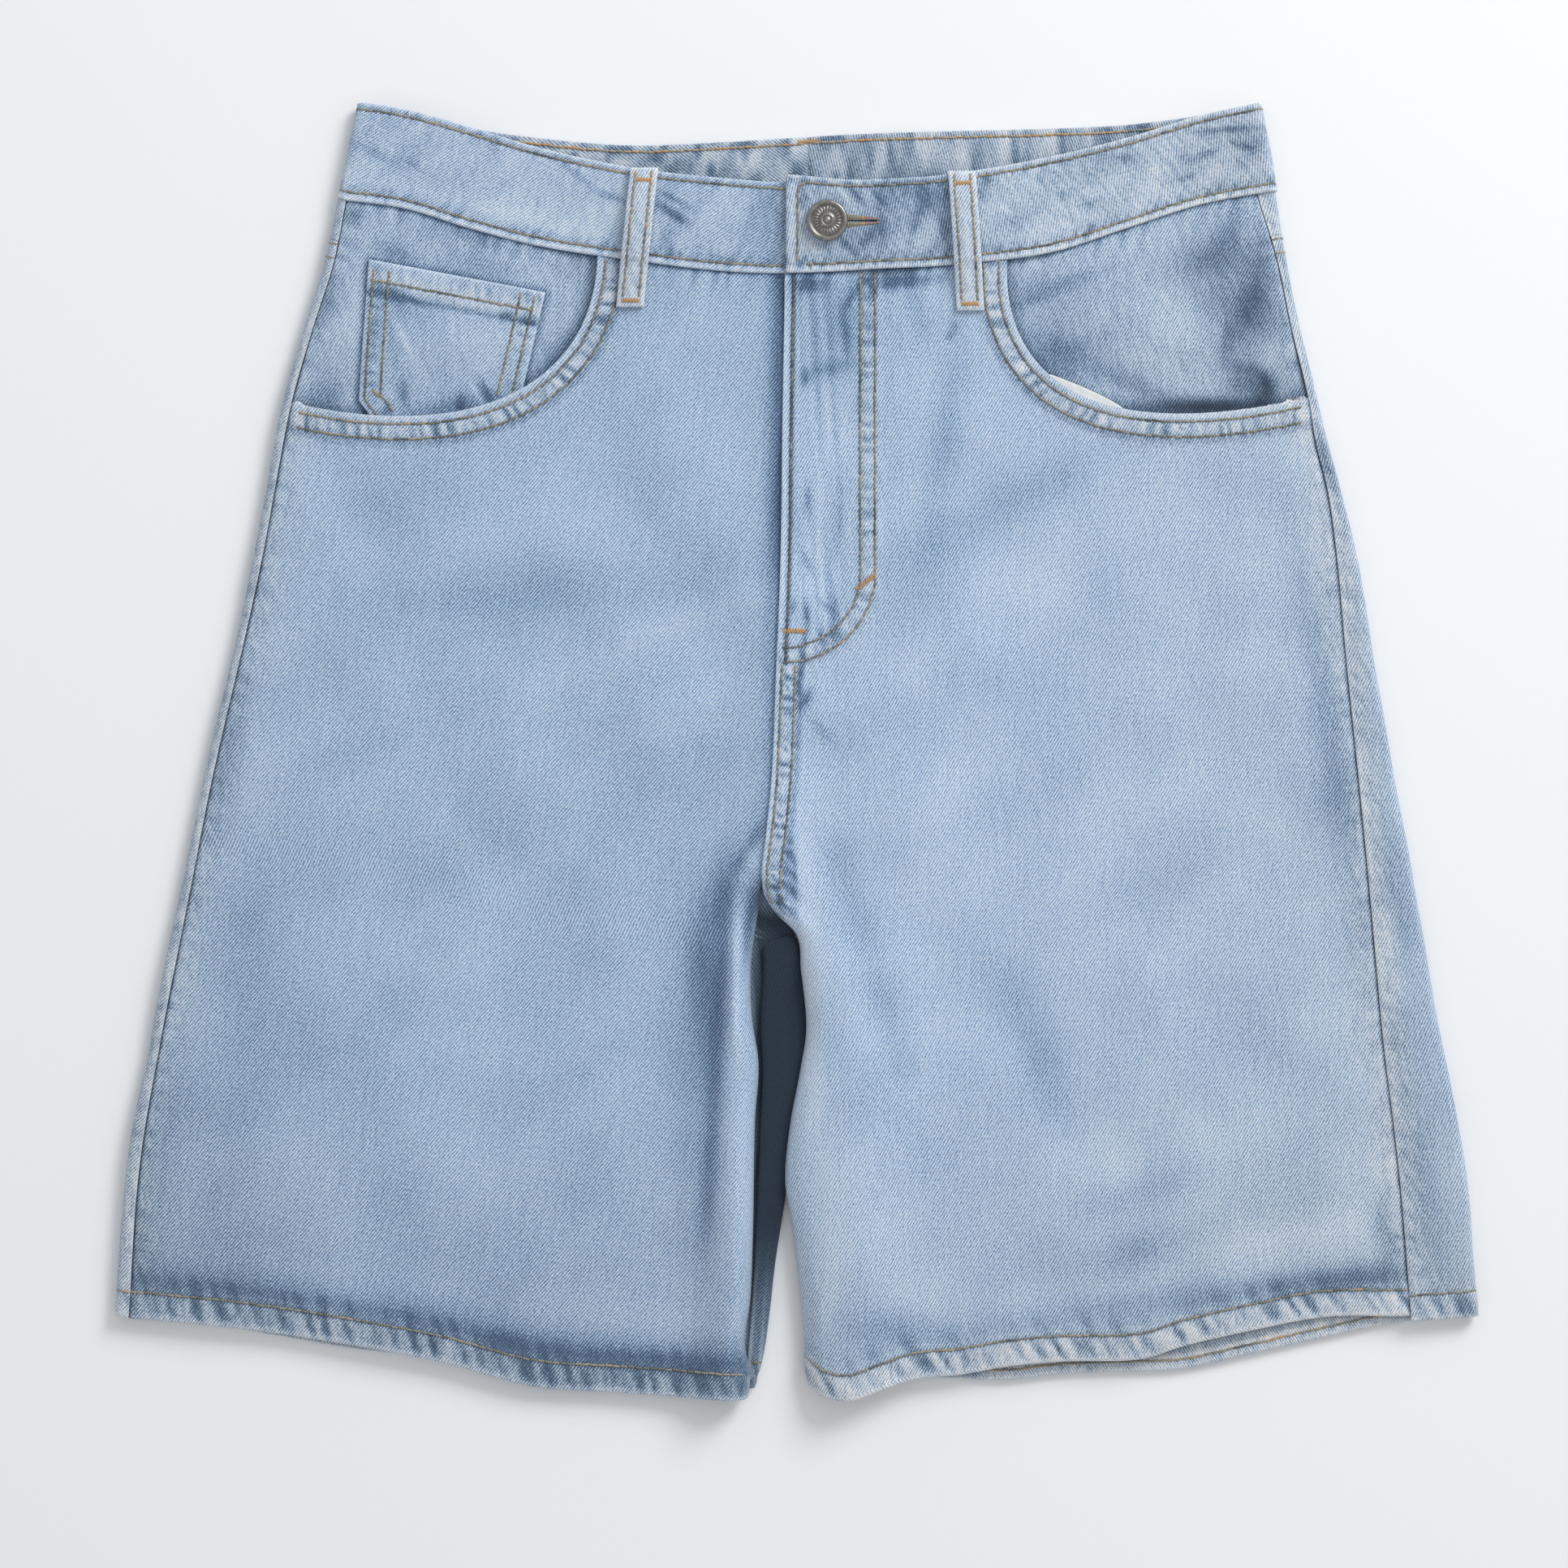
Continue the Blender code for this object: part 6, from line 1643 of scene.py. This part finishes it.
# ======== belt loops ========
def belt_loop(name):
    """A folded strip over the waistband: it follows the front and the band on it, and arches away
    from them between its two ends by a power of a half sine."""
    side = -1 if "right" in name else 1
    top_x, foot_x = LOOPS[name]
    top_y = follow(WAIST, "front_top", top_x) + LOOP_TOP_OVER
    share = np.linspace(0, 1, LOOP_ROWS)[:, None]
    across = np.linspace(-0.5, 0.5, LOOP_COLUMNS)[None, :]
    middle_x = mix(top_x, foot_x, share)
    x = middle_x + LOOP_WIDTH * across
    y = top_y - LOOP_LENGTH * share + 0 * x
    on_band = between(y - waist_y(x), LOOP_STEPS_OFF)
    below = mix(front_height(side, middle_x, y), band_height(side, middle_x, y), on_band)
    arch = np.sin(np.clip(share / LOOP_SLACK_END, 0, 1) * math.pi) ** LOOP_SLACK_FULLNESS
    inner_z = below + LOOP_LIFT + LOOP_SLACK * arch
    marks = Marks(x, 0.2)
    run = LOOP_LENGTH * share + 0 * x
    marks.pale += 0.34
    marks.streaks += 0.15
    marks.height += 0.08 * ripple(run + 3 * across, 6.5, 1.1 + side)
    edge = LOOP_WIDTH * (0.5 - np.abs(across)) + 0 * x
    marks.along(edge, 0.8, height=-LOOP_EDGE, pale=0.35)
    marks.along(edge - LOOP_WIDTH / 2 + LOOP_STITCH, 0.7, height=-0.2)
    marks.along(edge - LOOP_WIDTH / 2, 1.2, height=0.18, pale=0.2)
    marks.along(np.minimum(run, LOOP_LENGTH - run), 1.0, height=-0.25, pale=0.3)
    outer = stacked(x, y, inner_z + LOOP_WALL + marks.height)
    cloth(f"{name}_cloth", outer, stacked(x, y, inner_z), stacked(x, y), marks.wear_and_shading())
    up = facing_up(outer)
    sewing = Sewing(f"{name}_stitching")
    columns = np.arange(LOOP_COLUMNS)
    for way in (-1, 1):
        column = np.interp(way * LOOP_STITCH / LOOP_WIDTH, across[0], columns)
        line = between_rows(outer.transpose(1, 0, 2), column)
        sewing.run(line[1:-1], between_rows(up.transpose(1, 0, 2), column)[1:-1], DUSTY)
    for at in LOOP_BARTACKS:
        row = at / LOOP_LENGTH * (LOOP_ROWS - 1)
        middle, rise = between_rows(outer, row), between_rows(up, row)
        sewing.bartack(middle[3:-3], rise[3:-3], LOOP_BAR_WIDTH, ORANGE)
    sewing.finish()


# ======== button and buttonhole ========
def button():
    """The shank button: a profile turned about the vertical through its middle, with a ring of
    small beads in its groove."""
    x, y = BUTTON_AT
    base = float(band_height(1, np.array(x), np.array(y))) + BUTTON_LIFT
    under = float(band_height(-1, np.array(x), np.array(y))) + SEAM_GAP
    shank = ((AXIS, under - base), (SHANK_RADIUS, under - base))
    profile = np.array([*shank, *BUTTON_PROFILE, (AXIS, BUTTON_HEIGHT)])
    angle = np.linspace(0, 2 * math.pi, BUTTON_SEGMENTS, endpoint=False)
    radius, height = profile[:, :1], profile[:, 1:]
    away = (radius - BEAD_RING) / BEAD_REACH
    beads = BEAD_HEIGHT * np.clip(np.cos(BEADS * angle), 0, 1) * np.exp(-(away**2))
    z = base + height + np.where(height > BEADS_FROM, beads, 0)
    points = stacked(x + radius * np.cos(angle), y + radius * np.sin(angle), z)
    rings = len(profile)
    index = np.arange(rings * BUTTON_SEGMENTS).reshape(rings, BUTTON_SEGMENTS)
    following = np.roll(index, -1, axis=1)
    faces = np.stack([index[:-1], following[:-1], following[1:], index[1:]], -1).reshape(-1, 4)
    made = new_mesh("button_turned", points.reshape(-1, 3), faces, METAL)
    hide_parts("button")


def buttonhole():
    """Close satin stitches round the buttonhole, from its edge outwards, shorter towards the bar
    at its far end."""
    sewing = Sewing("buttonhole_stitching")
    x = np.arange(BUTTON_AT[0] + SATIN_START, BUTTONHOLE_END, SATIN_PITCH)
    reach = x - BUTTON_AT[0]
    half = np.maximum(SLIT, np.sqrt(np.clip(EYELET_RADIUS**2 - reach**2, 0, None)))
    long = np.interp(x, (SATIN_SHORTENS, BUTTONHOLE_END), SATIN_LENGTHS)
    tones = np.interp(x, SATIN_TONES_AT, SATIN_TONES)
    for way in (-1, 1):
        ends = [
            stacked(x + lean, BUTTON_AT[1] + way * reach_out)
            for lean, reach_out in ((0, half + SATIN_INSET), (SATIN_LEAN * way, half + long))
        ]
        sewing.stitch_between(*(drop_on("waistband_left", line) for line in ends), tones)
    sewing.finish()


# ======== finishes ========
class Graph:
    """Adds nodes to a node tree and joins them."""

    def __init__(self, tree):
        self.tree = tree

    def add(self, kind, inputs=(), **settings):
        made = self.tree.nodes.new(kind)
        for key, value in settings.items():
            setattr(made, key, value)
        for key, value in dict(inputs).items():
            if isinstance(value, bpy.types.NodeSocket):
                self.link(value, made.inputs[key])
            else:
                made.inputs[key].default_value = value
        return made

    def link(self, output, socket):
        self.tree.links.new(output, socket)

    def sum(self, *values):
        total = values[0]
        for value in values[1:]:
            total = self.math("ADD", total, value)
        return total

    def math(self, operation, *values):
        return self.add("ShaderNodeMath", enumerate(values), operation=operation).outputs[0]

    def times(self, value, factor, middle=0.0):
        """(value - middle) * factor"""
        return self.math("MULTIPLY_ADD", value, factor, -middle * factor)

    def rising(self, value, start, end):
        """0 up to start, 1 from end on, and evenly between."""
        return self.add("ShaderNodeMapRange", enumerate((value, start, end))).outputs[0]

    def scaled(self, vector, scale):
        scale = scale if isinstance(scale, tuple) else (scale,) * 3
        inputs = enumerate((vector, scale))
        return self.add("ShaderNodeVectorMath", inputs, operation="MULTIPLY").outputs[0]

    def turned(self, vector, degrees):
        rotation = (0, 0, math.radians(degrees))
        return self.add("ShaderNodeMapping", {"Vector": vector, "Rotation": rotation}).outputs[0]

    def noise(self, at, scale, detail=2.0, roughness=0.55):
        """Noise with this many cells to a mm, either all round or along each of x and y."""
        inputs = {"Vector": self.scaled(at, scale), "Scale": 1.0, "Detail": detail, "Roughness": roughness}
        return self.add("ShaderNodeTexNoise", inputs).outputs[0]

    def wave(self, turns):
        """The sine of a number of whole turns."""
        return self.math("SINE", self.times(turns, 2 * math.pi))

    def ramp(self, level, stops):
        made = self.add("ShaderNodeValToRGB", {0: level})
        points = made.color_ramp.elements
        while len(points) < len(stops):
            points.new(1)
        for point, (place, colour) in zip(points, stops):
            point.position, point.color = place, (*colour, 1)
        return made.outputs[0]

    def mixed(self, share, first, second, blend="MIX"):
        inputs = {0: share, 6: first, 7: second}
        return self.add("ShaderNodeMix", inputs, data_type="RGBA", blend_type=blend).outputs[2]


def coat(graph, shader, colour, relief, strength, distance):
    """Links a finish's colour and the bump of its relief to its shader."""
    graph.link(colour, shader["Base Color"])
    bump = graph.add("ShaderNodeBump", {"Height": relief, "Strength": strength, "Distance": distance})
    graph.link(bump.outputs[0], shader["Normal"])


def group(name, inputs, outputs):
    """A shader node group with these named sockets: its graph, its input sockets and its output."""
    tree = bpy.data.node_groups.new(name, "ShaderNodeTree")
    for way, sockets in (("INPUT", inputs), ("OUTPUT", outputs)):
        for socket, kind in sockets.items():
            tree.interface.new_socket(socket, in_out=way, socket_type=f"NodeSocket{kind}")
    graph = Graph(tree)
    return graph, graph.add("NodeGroupInput").outputs, graph.add("NodeGroupOutput").inputs


def weave_group():
    """Twill from cloth coordinates in mm: wales that lean to the right, broken where yarns swell,
    slubs down the warp and across the weft, and flecks of white weft between the blue."""
    outputs = dict.fromkeys(("Wale", "Slub", "Fleck", "Cloud", "Mottle"), "Float")
    graph, given, result = group("twill_weave", {"Cloth": "Vector"}, outputs)
    at = given["Cloth"]
    apart = graph.add("ShaderNodeSeparateXYZ", {0: graph.turned(at, WALE_ANGLE)}).outputs
    wobble = graph.times(graph.noise(at, 0.4), WALE_WOBBLE, 0.5)
    across = graph.sum(graph.math("DIVIDE", apart[0], WALE_PITCH), wobble)
    along = graph.math("DIVIDE", apart[1], YARN_PITCH)
    wale = graph.wave(across)
    yarn = graph.wave(graph.sum(along, graph.times(across, 0.5)))
    broken = graph.times(graph.noise(at, 0.8, 1), 2.2, 0.05)
    wale = graph.sum(graph.times(graph.math("MULTIPLY", wale, broken), 0.36), graph.times(yarn, 0.1), 0.5)
    slub = graph.noise(at, (0.9, 0.05, 1), 2)
    weft = graph.noise(at, (0.04, 0.8, 1), 2)
    fleck = graph.noise(at, 0.95, 3, 0.7)
    cloud = graph.noise(at, 0.022, 1)
    mottle = graph.noise(graph.turned(at, -20), (0.42, 0.1, 1), 3, 0.6)
    slubs = graph.sum(graph.times(slub, 0.7), graph.times(weft, 0.3))
    for socket, value in zip(outputs, (wale, slubs, fleck, cloud, mottle)):
        graph.link(value, result[socket])
    return graph.tree


def cloth_at(graph):
    """The piece's cloth coordinates in mm."""
    layer = graph.add("ShaderNodeUVMap", uv_map="cloth").outputs[0]
    return graph.scaled(layer, 1000)


def finish_of(name, slot, colour, roughness):
    """A material with a plain shader whose looks are linked afterwards: graph, shader, finish."""
    made = bpy.data.materials.new(name)
    made.use_nodes = True
    made.diffuse_color = (*colour, 1)
    shader = made.node_tree.nodes["Principled BSDF"]
    shader.inputs["Roughness"].default_value = roughness
    return Graph(made.node_tree), shader.inputs, (made, slot)


def denim():
    """Washed denim: the level of its blue is the weave's wales, slubs, flecks and clouds, lifted
    where it is worn pale and where highlights are painted, and lowered where dye stayed in the creases
    and where shadows are painted; painted shade then darkens it towards DEEP_SHADE."""
    graph, shader, finish = finish_of("washed_denim", "denim", (0.36, 0.47, 0.6), 0.88)
    weave = graph.add("ShaderNodeGroup", node_tree=weave_group())
    graph.link(cloth_at(graph), weave.inputs["Cloth"])
    woven = weave.outputs
    # the points' marks, which include painted shade and painted highlights
    wear_and_shading = graph.add("ShaderNodeAttribute", attribute_name="wear_and_shading")
    apart = graph.add("ShaderNodeSeparateColor", {0: wear_and_shading.outputs["Color"]}).outputs
    pale, deep, shade, streaks = apart[0], apart[1], apart[2], wear_and_shading.outputs["Alpha"]
    streaky = graph.math("MULTIPLY", streaks, graph.math("SUBTRACT", 1.0, streaks))
    level = graph.sum(
        PLAIN_LEVEL,
        graph.times(woven["Wale"], WALE_TONE, 0.5),
        graph.times(woven["Slub"], SLUB_TONE, 0.5),
        graph.times(woven["Fleck"], FLECK_TONE, 0.5),
        graph.times(woven["Cloud"], CLOUD_TONE, 0.5),
        graph.math("MULTIPLY", graph.times(woven["Mottle"], MOTTLE_TONE, 0.5), streaky),
        graph.times(pale, PALE_TONE),
        graph.times(deep, -DEEP_TONE),
    )
    blue = graph.ramp(level, DENIM_BLUES)
    drift = graph.math("MULTIPLY", graph.times(woven["Cloud"], 2.2, 0.35), 0.35)
    blue = graph.mixed(drift, blue, COOL, "MULTIPLY")
    place = graph.add("ShaderNodeTexCoord").outputs["Object"]
    place = graph.add("ShaderNodeSeparateXYZ", {0: place}).outputs
    warm = [
        graph.times(graph.rising(place[axis], start, end), amount) for axis, start, end, amount in WARMER
    ]
    warm = graph.sum(graph.times(streaks, STREAK_WARMTH), *warm)
    blue = graph.mixed(warm, blue, WARM, "MULTIPLY")
    # painted shade: the shade mark darkens the blue towards DEEP_SHADE
    blue = graph.mixed(shade, blue, DEEP_SHADE)
    shader["Sheen Weight"].default_value = 0.12
    shader["Sheen Roughness"].default_value = 0.6
    wales, flecks = graph.times(woven["Wale"], WALE_RELIEF), graph.times(woven["Fleck"], FLECK_RELIEF)
    relief = graph.sum(wales, flecks)
    coat(graph, shader, blue, relief, 0.7, 0.0006)
    return finish


def cotton():
    """Plain white pocket cotton: two crossed sets of fine yarns."""
    graph, shader, finish = finish_of("pocket_cotton", "pocket_cotton", (0.86, 0.86, 0.84), 0.9)
    at = cloth_at(graph)
    apart = graph.add("ShaderNodeSeparateXYZ", {0: at}).outputs
    weave = graph.math("MULTIPLY", *(graph.wave(graph.times(apart[k], YARNS_PER_MM)) for k in (0, 1)))
    level = graph.sum(0.5, graph.times(weave, 0.3), graph.times(graph.noise(at, 0.3), 0.4, 0.5))
    coat(graph, shader, graph.ramp(level, COTTON_WHITES), weave, 0.3, 0.0002)
    return finish


def thread():
    """Cotton thread, twisted: slanting plies from its own coordinates, and its colour from each
    stitch's tone."""
    graph, shader, finish = finish_of("sewing_thread", "denim", (0.3, 0.25, 0.16), 0.7)
    apart = graph.add("ShaderNodeSeparateXYZ", {0: cloth_at(graph)}).outputs
    ply = graph.wave(graph.sum(graph.times(apart[0], 1.1), apart[1]))
    tone = graph.add("ShaderNodeAttribute", attribute_name="tone").outputs["Fac"]
    level = graph.sum(tone, graph.times(ply, 0.16))
    coat(graph, shader, graph.ramp(graph.times(level, 0.85), THREAD_TONES), ply, 0.5, 0.0001)
    return finish


def antique_metal():
    """Worn nickel: bright where it is high, dark in its grooves, with fine scratches."""
    graph, shader, finish = finish_of("antique_nickel", "button_metal", (0.36, 0.35, 0.32), 0.4)
    place = graph.add("ShaderNodeTexCoord").outputs["Object"]
    at = graph.scaled(place, 1000)
    stain = graph.noise(at, 0.5, 3)
    scratch = graph.noise(at, (0.4, 6.0, 1), 2)
    worn = graph.add("ShaderNodeNewGeometry").outputs["Pointiness"]
    worn, stained = graph.times(worn, 4.0, 0.43), graph.times(stain, 0.5, 0.5)
    level = graph.sum(worn, stained, graph.times(scratch, 0.3, 0.5))
    graph.link(graph.ramp(level, NICKEL_TONES), shader["Base Color"])
    shader["Metallic"].default_value = 0.9
    rough = graph.sum(0.36, graph.times(stain, 0.3, 0.5))
    graph.link(rough, shader["Roughness"])
    return finish


# ======== floor, light and camera ========
def studio():
    """A pale floor, an even pale surround, a large soft light from the wearer's upper left, and a
    camera straight above."""
    corners = np.array([(-0.5, -0.5, 0), (0.5, -0.5, 0), (0.5, 0.5, 0), (-0.5, 0.5, 0)])
    corners = corners * FLOOR_SIZE + (0, 0, FLOOR_Z)
    mesh = bpy.data.meshes.new("floor")
    mesh.from_pydata((corners * MM).tolist(), [], [(0, 1, 2, 3)])
    _, shader, (paper, _) = finish_of("pale_floor", None, FLOOR_COLOUR, 0.95)
    shader["Base Color"].default_value = (*FLOOR_COLOUR, 1)
    shader["Specular IOR Level"].default_value = 0.1
    mesh.materials.append(paper)
    linked("floor", mesh)

    world = bpy.data.worlds.new("surround")
    world.use_nodes = True
    surround = world.node_tree.nodes["Background"].inputs
    surround["Color"].default_value = SURROUND_COLOUR
    surround["Strength"].default_value = SURROUND
    bpy.context.scene.world = world

    light = bpy.data.lights.new("key", "AREA")
    light.size, light.energy = KEY_SIZE, KEY_POWER
    lamp = linked("key", light)
    lamp.location = KEY_AT
    lamp.rotation_euler = (-Vector(KEY_AT)).to_track_quat("-Z", "Y").to_euler()

    camera = linked("camera", bpy.data.cameras.new("camera"))
    camera.location = CAMERA_AT
    camera.data.lens = SENSOR * (CAMERA_AT[2] - LAID_HEIGHT * MM) / VIEW_WIDTH
    camera.data.sensor_width = SENSOR
    camera.data.clip_start, camera.data.clip_end = 0.1, 20
    bpy.context.scene.camera = camera
    bpy.context.scene.view_settings.view_transform = "Standard"


def main():
    for side, word in ((-1, "right"), (1, "left")):
        front(side, word)
        hip_facing(side, word)
        back_and_yoke(side, word)
        waistband(side, word)
        front_sewing(side, word)
    coin_pocket()
    coin_pocket_sewing()
    pocket_lining()
    fly_sewing()
    for name in LOOPS:
        belt_loop(name)
    button()
    buttonhole()
    studio()


DENIM_CLOTH = denim()
COTTON = cotton()
THREAD = thread()
METAL = antique_metal()
main()
